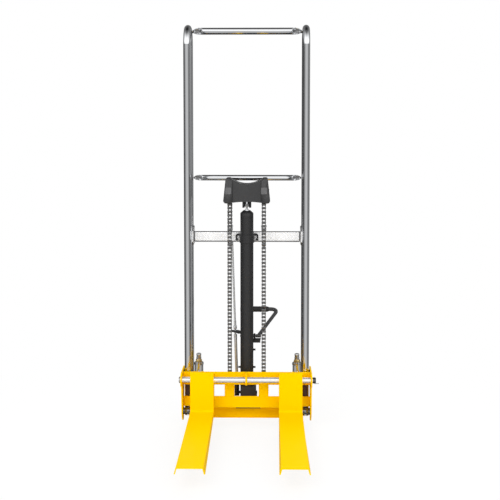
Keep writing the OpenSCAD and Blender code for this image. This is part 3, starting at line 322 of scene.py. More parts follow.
SATIN_ZINC = finish_of("satin_zinc", (0.80, 0.80, 0.80), (0.66, 0.67, 0.67), metallic=0.55, rough=(0.34, 0.46),
                       grain=(350.0, 0.08), patch=20.0)
# a lighter grey that paints the soft highlight on the chain cover's end faces
HIGHLIGHT_PAD_PAINT = finish_of("painted_highlight_pad", (0.085, 0.085, 0.088), (0.125, 0.125, 0.128), rough=(0.35, 0.45), grain=(900.0, 0.06),
                patch=90.0)
# a dark grey finish that paints the dark reflection along the tie bar's rounded edges
EDGE_PAINTED_REFLECTION = finish_of("painted_dark_edge_reflection", (0.24, 0.24, 0.24), (0.19, 0.19, 0.19), metallic=0.7, rough=(0.3, 0.42),
                      grain=(400.0, 0.06), patch=30.0)
# heat marks on welded chrome; the same dark finish is also the painted shade in the crimped hollows of the cross bars
# and the darker band at each end of the tie bar
HEAT_TINT_AND_PAINTED_SHADE = finish_of("heat_marked_plating_and_painted_shade", (0.17, 0.17, 0.172), (0.30, 0.30, 0.30), metallic=0.8,
                      rough=(0.3, 0.45), grain=(300.0, 0.12), patch=60.0)
PEDAL_PAINT = finish_of("grey_black_pedal_paint", (0.045, 0.045, 0.046), (0.060, 0.060, 0.061), rough=(0.28, 0.38),
                        grain=(700.0, 0.05), patch=10.0)
# a dark brown that paints the dark reflection in the chrome mast tubes behind the carriage
DARK_REFLECTION_PAD = finish_of("painted_dark_reflection_pad", (0.060, 0.020, 0.006), (0.045, 0.016, 0.006), rough=(0.35, 0.5),
                     grain=(500.0, 0.05), patch=20.0)
BLACK_OXIDE = finish_of("black_oxide_screw", (0.03, 0.03, 0.031), (0.045, 0.045, 0.046), metallic=0.6,
                        rough=(0.35, 0.5), grain=(500.0, 0.05), patch=30.0)
DARK_STEEL = finish_of("oiled_dark_steel", (0.16, 0.16, 0.16), (0.10, 0.10, 0.10), metallic=1.0, rough=(0.25, 0.4),
                       grain=(400.0, 0.08), patch=30.0)
CHAIN = finish_of("blued_chain", (0.13, 0.13, 0.132), (0.24, 0.24, 0.24), metallic=0.9, rough=(0.28, 0.42),
                  grain=(600.0, 0.08), patch=60.0)
MOULDED = finish_of("moulded_black_plastic", (0.026, 0.026, 0.027), (0.033, 0.033, 0.034), rough=(0.30, 0.38),
                    grain=(1400.0, 0.12), patch=12.0)
POLYMER = finish_of("black_polyamide", (0.035, 0.035, 0.036), (0.045, 0.045, 0.046), rough=(0.45, 0.6),
                    grain=(800.0, 0.08), patch=20.0)
RUBBER = finish_of("black_rubber", (0.026, 0.026, 0.027), (0.036, 0.036, 0.037), rough=(0.5, 0.65),
                   grain=(900.0, 0.15), patch=25.0, spec=0.35)
TREAD = finish_of("wheel_tread", (0.030, 0.030, 0.030), (0.042, 0.041, 0.040), rough=(0.5, 0.65),
                  grain=(500.0, 0.12), patch=25.0)
CORE = finish_of("grey_wheel_core", (0.20, 0.20, 0.205), (0.25, 0.25, 0.255), rough=(0.45, 0.6),
                 grain=(600.0, 0.08), patch=25.0)
BRASS = finish_of("yellow_passivated_band", (0.80, 0.58, 0.22), (0.72, 0.52, 0.20), metallic=1.0, rough=(0.25, 0.35),
                  grain=(400.0, 0.05), patch=20.0)
print("finishes:", len(bpy.data.materials))

# %% Paint the CAD nodes
PAINT = {
    YELLOW: ["base_cross_beam", "base_side_plates", "straddle_leg_left", "straddle_leg_right",
             "carriage_side_left", "carriage_side_right", "carriage_upper_plate", "carriage_lower_plate",
             "chain_tabs", "fork_left", "fork_right"],
    BLACK: ["cylinder_clamp", "lift_cylinder", "cylinder_gland", "pump_barrel", "pedal_bracket", "rod_guide",
            "head_yoke", "pedal_lever", "release_lever", "valve_arm", "caster_brake_left", "caster_brake_right"],
    CAST: ["pump_block"],
    CHROME: ["mast_tube_left", "mast_tube_right", "handle_bar", "middle_cross_bar", "lift_ram", "pump_plunger"],
    SHAFT: ["fork_shaft"],
    ZINC: ["clamp_bolts", "frame_pins", "caster_sleeves", "mast_chain_studs", "wheel_axle", "carriage_chain_studs",
           "shaft_pin", "roller_pins", "plunger_spring", "release_rod", "caster_fork_left", "caster_fork_right",
           "tie_bar_plates"],
    BRUSHED: ["tie_bar"],
    DARK_STEEL: ["chain_wheel_left", "chain_wheel_right"],
    CHAIN: ["rear_chains", "front_chain_left", "front_chain_right"],
    MOULDED: ["chain_cover"],
    POLYMER: ["guide_roller_upper_left", "guide_roller_upper_right", "guide_roller_lower_left",
              "guide_roller_lower_right", "load_roller_left", "load_roller_right"],
    RUBBER: ["pedal_sleeve"],
    TREAD: ["caster_wheel_left", "caster_wheel_right"],
}
for paint, names in PAINT.items():
    for name in names:
        NODES[name].data.materials.clear()
        NODES[name].data.materials.append(paint)
unpainted = set(NODES) - {name for names in PAINT.values() for name in names}
print("painted nodes:", sum(map(len, PAINT.values())), "left:", unpainted)

# %% [markdown]
# ## Tools for making pieces
# A piece is always made as a mesh, given a finish, and then tied to the body that carries it. Four small
# makers cover nearly everything on this machine. `turned` spins a profile, as a lathe does. `swept` carries
# a circle along a path, as a bent rod does. `plate` cuts an outline out of sheet and rounds its edge.
# `edged_copy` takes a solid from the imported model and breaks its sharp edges, because no real edge is
# perfectly sharp and the thin highlight along it is what makes sheet metal look like metal.

# %% Piece helpers
BODY_OF = {name: body for body, names in frame["record"]["behaviour"]["bodies"].items() for name in names}
MM = 0.001


def at(x, y, z):
    """A point given in millimetres from the front mast legs."""
    return Vector((x * MM, y * MM + MAST_Y, z * MM))


def mesh_of(name, points, faces):
    made = bpy.data.meshes.new(name)
    made.from_pydata([tuple(p) for p in points], [], faces)
    made.validate()
    return made


def add_piece(name, mesh, finish, body, smooth=32, replaced=()):
    """Link a mesh into the scene, shade it, and tie it to its body."""
    made = bpy.data.objects.new(name, mesh)
    scene.collection.objects.link(made)
    mesh.materials.clear()
    mesh.materials.append(finish)
    for face in mesh.polygons:
        face.use_smooth = True
    mesh.set_sharp_from_angle(angle=math.radians(smooth))
    if body:
        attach(made, body)
    if replaced:
        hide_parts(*replaced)
    return made


def joined(meshes, name):
    """Several meshes as one."""
    work = bmesh.new()
    for mesh in meshes:
        work.from_mesh(mesh)
    made = bpy.data.meshes.new(name)
    work.to_mesh(made)
    work.free()
    return made


def turned(profile, centre, axis=(0, 0, 1), sides=48, name="turned"):
    """Spin (radius, height) pairs about an axis through a point; a radius of 0 closes the end."""
    turn = Vector(axis).to_track_quat("Z", "Y").to_matrix()
    points, faces, rings = [], [], []
    for radius, rise in profile:
        first = len(points)
        count = 1 if radius == 0 else sides
        for k in range(count):
            angle = 2 * math.pi * k / sides
            spot = Vector((radius * math.cos(angle), radius * math.sin(angle), rise)) * MM
            points.append(Vector(centre) + turn @ spot)
        rings.append((first, count))
    for (a, na), (b, nb) in zip(rings, rings[1:]):
        for k in range(sides):
            nxt = (k + 1) % sides
            if na == 1 and nb > 1:
                faces.append((a, b + nxt, b + k))
            elif nb == 1 and na > 1:
                faces.append((a + k, a + nxt, b))
            elif na > 1:
                faces.append((a + k, a + nxt, b + nxt, b + k))
    first, count = rings[0]
    if count > 1 and profile[0] != profile[-1]:
        faces.append(tuple(range(first + count - 1, first - 1, -1)))
        last, count = rings[-1]
        if count > 1:
            faces.append(tuple(range(last, last + count)))
    elif count > 1:
        pass
    else:
        last, count = rings[-1]
        if count > 1:
            faces.append(tuple(range(last, last + count)))
    made = mesh_of(name, points, faces)
    return outward(made)


def outward(mesh):
    """Make every face look outwards and merge doubled points."""
    work = bmesh.new()
    work.from_mesh(mesh)
    bmesh.ops.remove_doubles(work, verts=work.verts, dist=1e-7)
    bmesh.ops.recalc_face_normals(work, faces=work.faces)
    work.to_mesh(mesh)
    work.free()
    return mesh


def swept(path, radius, sides=24, name="swept", caps=True):
    """Carry a circle along a path; radius is in millimetres and may be a list, one for each point."""
    path = [Vector(p) for p in path]
    radii = radius if isinstance(radius, (list, tuple)) else [radius] * len(path)
    points, faces = [], []
    side = None
    for i, spot in enumerate(path):
        ahead = (path[min(i + 1, len(path) - 1)] - path[max(i - 1, 0)]).normalized()
        if side is None:
            side = ahead.orthogonal().normalized()
        side = (side - ahead * side.dot(ahead)).normalized()
        other = ahead.cross(side)
        for k in range(sides):
            angle = 2 * math.pi * k / sides
            points.append(spot + (side * math.cos(angle) + other * math.sin(angle)) * radii[i] * MM)
    for i in range(len(path) - 1):
        for k in range(sides):
            a, b = i * sides + k, i * sides + (k + 1) % sides
            faces.append((a, b, b + sides, a + sides))
    if caps:
        faces.append(tuple(range(sides - 1, -1, -1)))
        faces.append(tuple(range((len(path) - 1) * sides, len(path) * sides)))
    return outward(mesh_of(name, points, faces))


def plate(outline, low, high, edge=0.4, name="plate", along="X"):
    """A sheet between two heights along an axis, with its outline in the other two, in millimetres."""
    placed = {"X": lambda d, u, v: at(d, u, v), "Y": lambda d, u, v: at(u, d, v), "Z": lambda d, u, v: at(u, v, d)}
    steps = [(low, edge), (low + edge, 0), (high - edge, 0), (high, edge)]
    count = len(outline)
    flat = [Vector((*p, 0)) for p in outline]
    area = sum(flat[i].x * flat[(i + 1) % count].y - flat[(i + 1) % count].x * flat[i].y for i in range(count))
    points, faces = [], []
    for depth, inset in steps:
        for i in range(count):
            before = (flat[i] - flat[i - 1]).normalized()
            after = (flat[(i + 1) % count] - flat[i]).normalized()
            inward = Vector((-(before.y + after.y), before.x + after.x, 0)) * (1 if area > 0 else -1)
            inward = inward.normalized() if inward.length > 1e-9 else inward
            spot = flat[i] + inward * inset
            points.append(placed[along](depth, spot.x, spot.y))
    for level in range(len(steps) - 1):
        for i in range(count):
            a, b = level * count + i, level * count + (i + 1) % count
            faces.append((a, b, b + count, a + count))
    faces.append(tuple(range(count - 1, -1, -1)))
    faces.append(tuple(range(3 * count, 4 * count)))
    return outward(mesh_of(name, points, faces))


def rim(radius, centre, sides=32, start=0.0, end=360.0):
    """Points on a circle in a plane, in millimetres."""
    turn = end - start
    count = sides if abs(turn) >= 360 else sides + 1
    return [(centre[0] + radius * math.cos(math.radians(start + turn * k / sides)),
             centre[1] + radius * math.sin(math.radians(start + turn * k / sides))) for k in range(count)]


def hexagon(across, thick, centre, axis, name="hexagon", turn=0.0):
    """A chamfered nut or bolt head whose lower face is centred on a point."""
    corner = across / 2 / math.cos(math.radians(30))
    rot = Vector(axis).to_track_quat("Z", "Y").to_matrix() @ Matrix.Rotation(math.radians(turn), 3, "Z")
    levels = [(0.0, 0.92), (0.08, 1.0), (0.86, 1.0), (1.0, 0.90)]
    points, faces = [], []
    for share, size in levels:
        for k in range(12):
            angle = math.radians(30 * k)
            reach = corner * (1.0 if k % 2 == 0 else math.cos(math.radians(30)))
            reach = min(reach, corner * size)
            points.append(Vector(centre) + rot @ (Vector((reach * math.cos(angle), reach * math.sin(angle),
                                                           share * thick)) * MM))
    for level in range(3):
        for k in range(12):
            a, b = level * 12 + k, level * 12 + (k + 1) % 12
            faces.append((a, b, b + 12, a + 12))
    faces.append(tuple(range(11, -1, -1)))
    faces.append(tuple(range(36, 48)))
    return outward(mesh_of(name, points, faces))


def edged_copy(name, finish, edge=0.9, segments=2, sharp=30, smooth=35):
    """The CAD solid with its flat faces merged and every edge that is sharper than an angle rounded."""
    source = NODES[name].data
    mesh = source.copy()
    work = bmesh.new()
    work.from_mesh(mesh)
    bmesh.ops.remove_doubles(work, verts=work.verts, dist=2e-6)
    bmesh.ops.dissolve_limit(work, angle_limit=math.radians(0.6), verts=work.verts, edges=work.edges)
    work.to_mesh(mesh)
    work.free()
    shaped = bpy.data.objects.new(name + "_shaping", mesh)
    scene.collection.objects.link(shaped)
    bevel = shaped.modifiers.new("edge", "BEVEL")
    bevel.width = edge * MM
    bevel.segments = segments
    bevel.limit_method = "ANGLE"
    bevel.angle_limit = math.radians(sharp)
    bevel.use_clamp_overlap = True
    bevel.harden_normals = False
    made = bpy.data.meshes.new_from_object(shaped.evaluated_get(bpy.context.evaluated_depsgraph_get()))
    bpy.data.objects.remove(shaped)
    made.name = name + "_edged"
    piece = add_piece(name + "_edged", made, finish, BODY_OF[name], smooth=smooth, replaced=[name])
    weigh = piece.modifiers.new("flat_faces", "WEIGHTED_NORMAL")
    weigh.keep_sharp = True
    return piece


def tint_faces(piece, finish, test):
    """Give the faces whose centre passes a test, in millimetres from the front mast legs, another finish."""
    piece.data.materials.append(finish)
    index = len(piece.data.materials) - 1
    for face in piece.data.polygons:
        spot = (face.center - Vector((0, MAST_Y, 0))) / MM
        if test(spot):
            face.material_index = index
    return piece


def lofted(stations, sides=40, name="lofted"):
    """Ellipses along X: (x, half width in Y, half height in Z, tilt in degrees, dent in the front)."""
    points, faces = [], []
    for x, wide, tall, tilt, dent in stations:
        lean = math.radians(tilt)
        for k in range(sides):
            angle = 2 * math.pi * k / sides
            y, z = wide * math.cos(angle), tall * math.sin(angle)
            y += 1.55 * wide * dent * max(0.0, -math.cos(angle)) ** 1.3
            points.append(Vector((x, y * math.cos(lean) - z * math.sin(lean),
                                  y * math.sin(lean) + z * math.cos(lean))) * MM)
    for i in range(len(stations) - 1):
        for k in range(sides):
            a, b = i * sides + k, i * sides + (k + 1) % sides
            faces.append((a, b, b + sides, a + sides))
    faces.append(tuple(range(sides - 1, -1, -1)))
    faces.append(tuple(range((len(stations) - 1) * sides, len(stations) * sides)))
    return outward(mesh_of(name, points, faces))


# %% [markdown]
# ## Sheet, tube and plate with broken edges
# The yellow weldments are laser cut sheet, folded channel and box section. Their outlines are already right
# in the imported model, so each is copied and only its edges change. Powder coat rounds a cut edge to about
# a millimetre. The pump block is a casting, so its corners are softer. The caster forks and the brake
# treads are pressed from thin zinc plated and black painted strip.

# %% Edged copies of the solids
EDGED = [
    # the base cross beam takes the orange copy of the yellow, which is painted shade
    (YELLOW_WITH_PAINTED_SHADE, 1.1, ["base_cross_beam"]),
    (YELLOW, 1.1, ["base_side_plates", "straddle_leg_left", "straddle_leg_right",
                   "carriage_side_left", "carriage_side_right", "carriage_upper_plate",
                   "carriage_lower_plate", "chain_tabs", "fork_left", "fork_right"]),
    (CAST, 2.2, ["pump_block"]),
    (BRUSHED, 0.8, ["tie_bar_plates"]),
    (SATIN_ZINC, 0.5, ["release_rod"]),
    (ZINC, 0.5, ["mast_chain_studs", "carriage_chain_studs", "wheel_axle", "frame_pins", "roller_pins"]),
    (BLACK, 0.8, ["release_lever"]),
    (BLACK, 0.7, ["pedal_bracket", "rod_guide", "valve_arm", "caster_brake_left",
                  "caster_brake_right"]),
]
for paint, edge, names in EDGED:
    for name in names:
        made = edged_copy(name, paint, edge)
        print(name, len(made.data.polygons), "faces")

# the fork channels are pressed, and their flanges lean outwards a little towards the tip
HEEL_Y, TIP_Y, FORK_TOP, LEAN_OUT = -120.0, -537.0, 88.0, 7.0
for side, sign in (("left", -1), ("right", 1)):
    for vertex in bpy.data.objects[f"fork_{side}_edged"].data.vertices:
        spot = (vertex.co - Vector((0, MAST_Y, 0))) / MM
        away = spot.x - sign * 190
        if abs(away) > 40 and spot.y < HEEL_Y and spot.z < FORK_TOP:
            along = min(1.0, (HEEL_Y - spot.y) / (HEEL_Y - TIP_Y))
            vertex.co.x += math.copysign(LEAN_OUT * MM, away) * along * min(1.0, (FORK_TOP - spot.z) / 25)
tint_faces(bpy.data.objects["release_rod_edged"], BLACK_OXIDE, lambda spot: spot.z < 166)
# the top and bottom edges of the tie bar plates are painted darker, a painted dark reflection
tint_faces(bpy.data.objects["tie_bar_plates_edged"], EDGE_PAINTED_REFLECTION, lambda spot: abs(spot.z - 822) > 24)

# %% [markdown]
# ## Lift chains
# A roller chain alternates inner links, which hold bushes and rollers, with outer links, which hold pins.
# Seen from the front its side plates and rollers leave a row of small windows, and light comes through them.
# Each chain here is made link by link at the real pitch, and the links of a strand are then joined into one
# piece. When the head rises, the links in front have to come up faster than the head and gather at the
# wheel, and the links behind have to be paid out again.

# %% Link shapes
PITCH = 15.875
WHEEL_Z = 1030.0
CHAIN_X = 74.0
CYLINDER_Y = 38.0
WHEEL_TEETH = 14
WHEEL_TURN = 5.6
WHEEL_R = PITCH / (2 * math.sin(math.pi / WHEEL_TEETH))
FRONT_LINKS = 52
REAR_LINKS = 10
SPARE_LINKS = 44
turn = math.radians(WHEEL_TURN)
FRONT_Y = CYLINDER_Y - WHEEL_R * math.cos(turn)
REAR_Y = CYLINDER_Y + WHEEL_R * math.cos(turn)
FRONT_TOP = WHEEL_Z + WHEEL_R * math.sin(turn)
REAR_TOP = WHEEL_Z - WHEEL_R * math.sin(turn)


def link_mesh(inner):
    """One link with its lower pin at the origin, in metres, standing along +Z."""
    big = 7.5 if inner else 6.6
    half = math.radians(38)
    outline = []
    for k in range(13):                       # the lower round end, from its right shoulder to its left
        angle = half - k * (math.pi + 2 * half) / 12
        outline.append((big * math.cos(angle), big * math.sin(angle)))
    outline.append((-big * 0.70, PITCH / 2))
    for k in range(13):                       # the upper round end, back to the right shoulder
        angle = math.pi + half - k * (math.pi + 2 * half) / 12
        outline.append((big * math.cos(angle), PITCH + big * math.sin(angle)))
    outline.append((big * 0.70, PITCH / 2))
    face = 4.83 if inner else 6.98
    parts = []
    home = at(0, 0, 0)
    for low, high in ((face, face + 2.0), (-face - 2.0, -face)):
        side = plate(outline, low, high, edge=0.35)
        side.transform(Matrix.Translation(-home))
        parts.append(side)
    for z in (0, PITCH):
        if inner:
            profile = [(2.6, -4.8), (5.08, -4.6), (5.08, 4.6), (2.6, 4.8)]
        else:
            profile = [(0, -10.0), (1.9, -9.9), (2.5, -9.3), (2.5, 9.3), (1.9, 9.9), (0, 10.0)]
        parts.append(turned(profile, (0, 0, z * MM), axis=(1, 0, 0), sides=16))
    return joined(parts, "inner_link" if inner else "outer_link")


INNER_LINK, OUTER_LINK = link_mesh(True), link_mesh(False)


def link_between(a, b, inner, x):
    """A copy of a link from pin a to pin b, which are (Y, Z) points in millimetres."""
    copy = (INNER_LINK if inner else OUTER_LINK).copy()
    lean = -math.atan2(b[0] - a[0], b[1] - a[1])
    copy.transform(Matrix.Translation(at(x, a[0], a[1])) @ Matrix.Rotation(lean, 4, "X"))
    return copy


print("link faces:", len(INNER_LINK.polygons), len(OUTER_LINK.polygons), "front strand at Y", round(FRONT_Y, 2))


def moving_link(mesh):
    """A single link as its own object, with its placement baked into the mesh."""
    made = bpy.data.objects.new("link", mesh)
    scene.collection.objects.link(made)
    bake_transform(made)
    return made


def strand(name, links, replaced=()):
    """Join single links into one piece with the chain finish."""
    bpy.ops.object.select_all(action="DESELECT")
    for made in links:
        made.select_set(True)
    bpy.context.view_layer.objects.active = links[0]
    bpy.ops.object.join()
    whole = links[0]
    whole.name = name
    whole.data.name = name
    whole.data.materials.clear()
    whole.data.materials.append(CHAIN)
    for face in whole.data.polygons:
        face.use_smooth = True
    whole.data.set_sharp_from_angle(angle=math.radians(35))
    if replaced:
        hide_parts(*replaced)
    return whole


for side, sign in (("left", -1), ("right", 1)):
    x = sign * CHAIN_X
    front = []
    for k in range(FRONT_LINKS):
        low, high = FRONT_TOP - (k + 1) * PITCH, FRONT_TOP - k * PITCH
        mesh = link_between((FRONT_Y, low), (FRONT_Y, high), k % 2 == 1, x)
        front.append(moving_link(mesh))
    strand("chain_strand_front_" + side, front, ["front_chain_" + side])
    rear = []
    for k in range(REAR_LINKS):
        low, high = REAR_TOP - (k + 1) * PITCH, REAR_TOP - k * PITCH
        rear.append(link_between((REAR_Y, low), (REAR_Y, high), k % 2 == 1, x))
    held = add_piece("chain_strand_rear_" + side, joined(rear, "rear_strand_" + side), CHAIN, "frame",
                     smooth=35, replaced=["rear_chains"])
    spare = []
    for k in range(SPARE_LINKS):
        rest = WHEEL_Z - PITCH / 2
        mesh = link_between((REAR_Y, rest), (REAR_Y, rest + PITCH), k % 2 == 0, x)
        spare.append(moving_link(mesh))
    strand("chain_strand_paid_out_" + side, spare)
    wrap = []
    for k in range(WHEEL_TEETH // 2):
        ends = []
        for step in (k, k + 1):
            angle = 2 * math.pi * step / WHEEL_TEETH - turn
            ends.append((CYLINDER_Y + WHEEL_R * math.cos(angle), WHEEL_Z + WHEEL_R * math.sin(angle)))
        wrap.append(link_between(ends[0], ends[1], k % 2 == 0, x))
    add_piece("chain_wrap_" + side, joined(wrap, "wrap_" + side), CHAIN, "lift_head", smooth=35)
    print(side, "chain:", len(front), "front,", len(rear), "rear,", len(wrap), "on the wheel")

# %% [markdown]
# ## Cross bars
# The handle bar and the middle bar are tubes whose ends were squeezed in a press until they close into a
# flat tongue, which is welded to the mast. The squeeze is what makes their ends look like blunt pencils.
# An ellipse is lofted along the bar. First its front wall is pushed in until it meets the back wall, which
# leaves a hollow, and only then does the bar lose its height. The hollow's front faces get a painted shade
# in a dark finish. The handle's tongue is tilted, so that it lies along the bend of the mast tube.

# %% Handle bar and middle bar
TUBE_R = 15.0
BEND_R = 72.5
BEND_Z = 1745 - TUBE_R - BEND_R
HANDLE_AT = (BEND_R + BEND_R * math.cos(math.radians(62)), BEND_Z + BEND_R * math.sin(math.radians(62)))


def pinched_bar(name, radius, squeeze_at, reach, tongue, tilt, centre, node_name):
    """A tube along X whose ends are pressed flat between two distances from its middle."""
    shape = [(0.0, 1.0, 0.0), (0.06, 1.0, 0.06), (0.14, 1.0, 0.30), (0.22, 1.0, 0.62), (0.32, 0.99, 0.86),
             (0.45, 0.96, 1.0), (0.58, 0.89, 1.0), (0.70, 0.76, 1.0), (0.80, 0.57, 1.0), (0.88, 0.34, 0.9),
             (0.94, 0.16, 0.7), (1.0, 0.0, 0.4)]
    flat = tongue / 2 / radius
    half = []
    for share, tall, dent in shape:
        height_share = flat + (1 - flat) * tall
        half.append((squeeze_at[0] + share * (squeeze_at[1] - squeeze_at[0]),
                     radius * (1 + 0.05 * (1 - tall)), radius * height_share, tilt * (1 - tall), dent))
    half.append((reach, radius * 1.05, tongue / 2, tilt, 0.3))
    stations = [(-x, *rest) for x, *rest in reversed(half)] + half
    mesh = lofted(stations, name=name)
    mesh.transform(Matrix.Translation(at(0, *centre)))
    made = add_piece(name, mesh, CHROME, "frame", smooth=50, replaced=[node_name])
    # the front faces of the crimped hollow are painted dark: a painted shade
    hollow = range(int(squeeze_at[0] + 6), int(squeeze_at[1] - 9))
    return tint_faces(made, HEAT_TINT_AND_PAINTED_SHADE, lambda spot: int(abs(spot.x)) in hollow and spot.y < centre[0] + 0.68 * radius
                      and abs(spot.z - centre[1]) < 0.5 * radius)


pinched_bar("handle_tube", TUBE_R, (194, 238), 243.5, 8.0, -28, HANDLE_AT, "handle_bar")
pinched_bar("middle_tube", 12.5, (198, 240), 249.5, 6.0, 0, (145, 1077), "middle_cross_bar")
print("cross bars at Z", round(HANDLE_AT[1], 1), "and", 1077)

# %% [markdown]
# ## Tie bar and clamp
# The flat bar behind the cylinder is rolled box section: its corners have a radius of a few millimetres.
# The thin dark lines along a bright face, which those corners would show as a mirror of the dark floor and
# ceiling, are painted on as a painted dark reflection: the corners, the plates' edges and a strip along the
# lower front edge take a dark grey finish, and each end of the bar is darker too. The clamp is a bent strap
# with two thick hooks that reach over the bolts.

# %% Tie bar, ears, clamp and bolts
TIE_Y = 66.7
TIE_DEPTH = 20.0
TIE_LOW, TIE_HIGH = 799.5, 844.5
CLAMP_Z = 818.0
CORNER = 6.0
box_section = []
for cy, cz, start in ((TIE_Y + TIE_DEPTH - CORNER, TIE_HIGH - CORNER, 0), (TIE_Y + CORNER, TIE_HIGH - CORNER, 90),
                      (TIE_Y + CORNER, TIE_LOW + CORNER, 180), (TIE_Y + TIE_DEPTH - CORNER, TIE_LOW + CORNER, 270)):
    box_section += rim(CORNER, (cy, cz), 6, start, start + 90)
parts = [plate(box_section, -236, 236, edge=0.2)]
LEVER_PIVOT = (119.666, 818.82)
LEVER_X = -66.7
ear = [(86, 804.5), (110, 806)] + rim(11, LEVER_PIVOT, 12, -95, 95) + [(110, 832), (86, 833)]
for middle in (LEVER_X - 12.2, LEVER_X + 12.2):
    parts.append(plate(ear, middle - 2, middle + 2, edge=0.5))
tie_bar = add_piece("tie_bar_tube", joined(parts, "tie_bar_tube"), BRUSHED, "frame", smooth=40,
                    replaced=["tie_bar"])
# the top and bottom corners of the bar are painted dark: a painted reflection of the floor and ceiling
tint_faces(tie_bar, EDGE_PAINTED_REFLECTION, lambda spot: spot.z < TIE_LOW + 5.2 or spot.z > TIE_HIGH - 3.0)
# the end faces of the bar take the dark steel finish, so each end reads darker
tint_faces(tie_bar, DARK_STEEL, lambda spot: abs(spot.x) > 235.5)
# a thin dark strip along the lower front edge, more painted dark reflection
dark_edge_strip = plate([(TIE_Y - 0.5, TIE_LOW - 0.5), (TIE_Y + 9, TIE_LOW - 0.5), (TIE_Y + 9, TIE_LOW + 0.5), (TIE_Y + 0.3, TIE_LOW + 4.6),
              (TIE_Y - 0.5, TIE_LOW + 4.6)], -228, 228, edge=0.1)
add_piece("tie_bar_painted_dark_edge", dark_edge_strip, EDGE_PAINTED_REFLECTION, "frame", smooth=40)
# a thin dark band wraps each end of the bar, in the dark tint finish
for sign in (-1, 1):
    end_band = plate(box_section, sign * 236 - 8 * (sign > 0), sign * 236 + 8 * (sign < 0), edge=0.3)
    for spot in end_band.vertices:
        spot.co.y -= 0.4 * MM
    add_piece("tie_bar_dark_end_band_" + ("left" if sign < 0 else "right"), end_band, HEAT_TINT_AND_PAINTED_SHADE, "frame",
              smooth=40)

strap = ([(-32.4, 66.4)] + rim(32.4, (0, CYLINDER_Y), 32, 180, 360) + [(32.4, 66.4), (28.7, 66.4)]
         + rim(28.7, (0, CYLINDER_Y), 32, 360, 180) + [(-28.7, 66.4)])
parts = [plate(strap, CLAMP_Z - 18, CLAMP_Z + 18, edge=0.8, along="Z")]
for sign in (-1, 1):
    hook = ([(22, CLAMP_Z + 18.5)] + rim(11, (39.0, CLAMP_Z + 7.5), 10, 90, 0)
            + rim(2.8, (47.2, CLAMP_Z + 0.5), 5, 0, -90) + [(43.6, CLAMP_Z + 0.5), (43.2, CLAMP_Z + 4.5)]
            + rim(4.6, (38.2, CLAMP_Z + 5.5), 8, 10, 170) + [(32.6, CLAMP_Z - 9), (22, CLAMP_Z - 9)])
    hook = [(sign * u, v) for u, v in hook]
    parts.append(plate(hook, TIE_Y - 6.0, TIE_Y - 0.1, edge=0.9, along="Y"))
add_piece("clamp_strap", joined(parts, "clamp_strap"), BLACK, "frame", smooth=40,
          replaced=["cylinder_clamp"])
parts, heads = [], []
for sign in (-1, 1):
    parts.append(turned([(0, 0), (8.2, 0), (8.6, 0.5), (8.6, 1.6), (8.2, 2.0), (0, 2.0)], at(sign * 44, TIE_Y - 0.1, 810),
                        axis=(0, -1, 0), sides=32))
    heads.append(hexagon(10, 5.5, at(sign * 44.5, TIE_Y - 2.0, 810.5), (0, -1, 0), turn=12 * sign))
    parts.append(turned([(0, 0), (4, 0), (4, 12), (3.3, 13), (0, 13)], at(sign * 46, TIE_Y + TIE_DEPTH, 808), axis=(0, 1, 0),
                        sides=24))
    parts.append(hexagon(12, 7, at(sign * 46, TIE_Y + TIE_DEPTH, 808), (0, 1, 0), turn=30))
add_piece("clamp_screws", joined(parts, "clamp_screws"), SATIN_ZINC, "frame", replaced=["clamp_bolts"])
add_piece("clamp_screw_heads", joined(heads, "clamp_screw_heads"), BLACK_OXIDE, "frame")
print("tie bar corner radius", CORNER, "mm; clamp hooks at X", 38, "mm")

# %% [markdown]
# ## Lift cylinder and ram
# The cylinder is a drawn tube with a gland nut screwed into its top and two bleed screws low on its sides.
# The ram ends in a ball that sits between the legs of the head. A lathe makes all of them, so each is one
# profile that is spun round the same axis.

# %% Cylinder, gland, ram
AXIS = at(0, CYLINDER_Y, 0)
tube = turned([(27.0, 168), (30.6, 168), (31.0, 170), (30.2, 173.5), (28.5, 175), (28.5, 914.6), (27.9, 915.2), (17.6, 915.2),
               (17.6, 168.0)], AXIS, sides=96)
parts = [tube]
for sign, z in ((-1, 248), (1, 248), (1, 326)):
    start = at(sign * 27.5, CYLINDER_Y, z)
    parts.append(turned([(0, 0), (5.4, 0), (5.4, 2.0), (4.0, 3.0), (4.0, 6.5), (0, 6.5)], start, axis=(sign, 0, 0), sides=24))
    parts.append(hexagon(8, 4.2, at(sign * 33.8, CYLINDER_Y, z), (sign, 0, 0)))
add_piece("cylinder_tube", joined(parts, "cylinder_tube"), BLACK, "frame", replaced=["lift_cylinder"])
gland = turned([(11.2, 915.3), (28.5, 915.3), (28.5, 928.5), (27.6, 930.4), (18.6, 938.4), (17.0, 940.6), (16.2, 941.0),
                (12.6, 941.0), (12.2, 940.2), (11.2, 940.0), (11.2, 915.3)], AXIS, sides=96)
add_piece("gland_nut", gland, BLACK, "frame", replaced=["cylinder_gland"])
BALL_Z, BALL_R = 964.0, 10.0
ball = [(BALL_R * math.cos(math.radians(a)), BALL_Z + BALL_R * math.sin(math.radians(a))) for a in range(-62, 27, 7)]
ram = turned([(0, 182), (17.4, 182), (17.4, 200), (11, 202), (11, 942.5), (10.4, 943.6), (5.6, 944.6), (4.9, 946.5),
              (5.1, 951.5)] + ball + [(9.2, 970.5), (9.2, 1000), (0, 1000)], AXIS, sides=64)
add_piece("ram_with_ball", ram, CHROME, "lift_head", smooth=30, replaced=["lift_ram"])
pin_end = turned([(0, 9.8), (1.0, 9.8), (1.6, 10.8), (3.0, 11.0), (3.6, 10.4), (3.8, 8.0), (0, 8.0)],
                 at(0, CYLINDER_Y, BALL_Z + 1), axis=(0, -1, 0), sides=24)
add_piece("ball_pin", pin_end, DARK_STEEL, "lift_head")
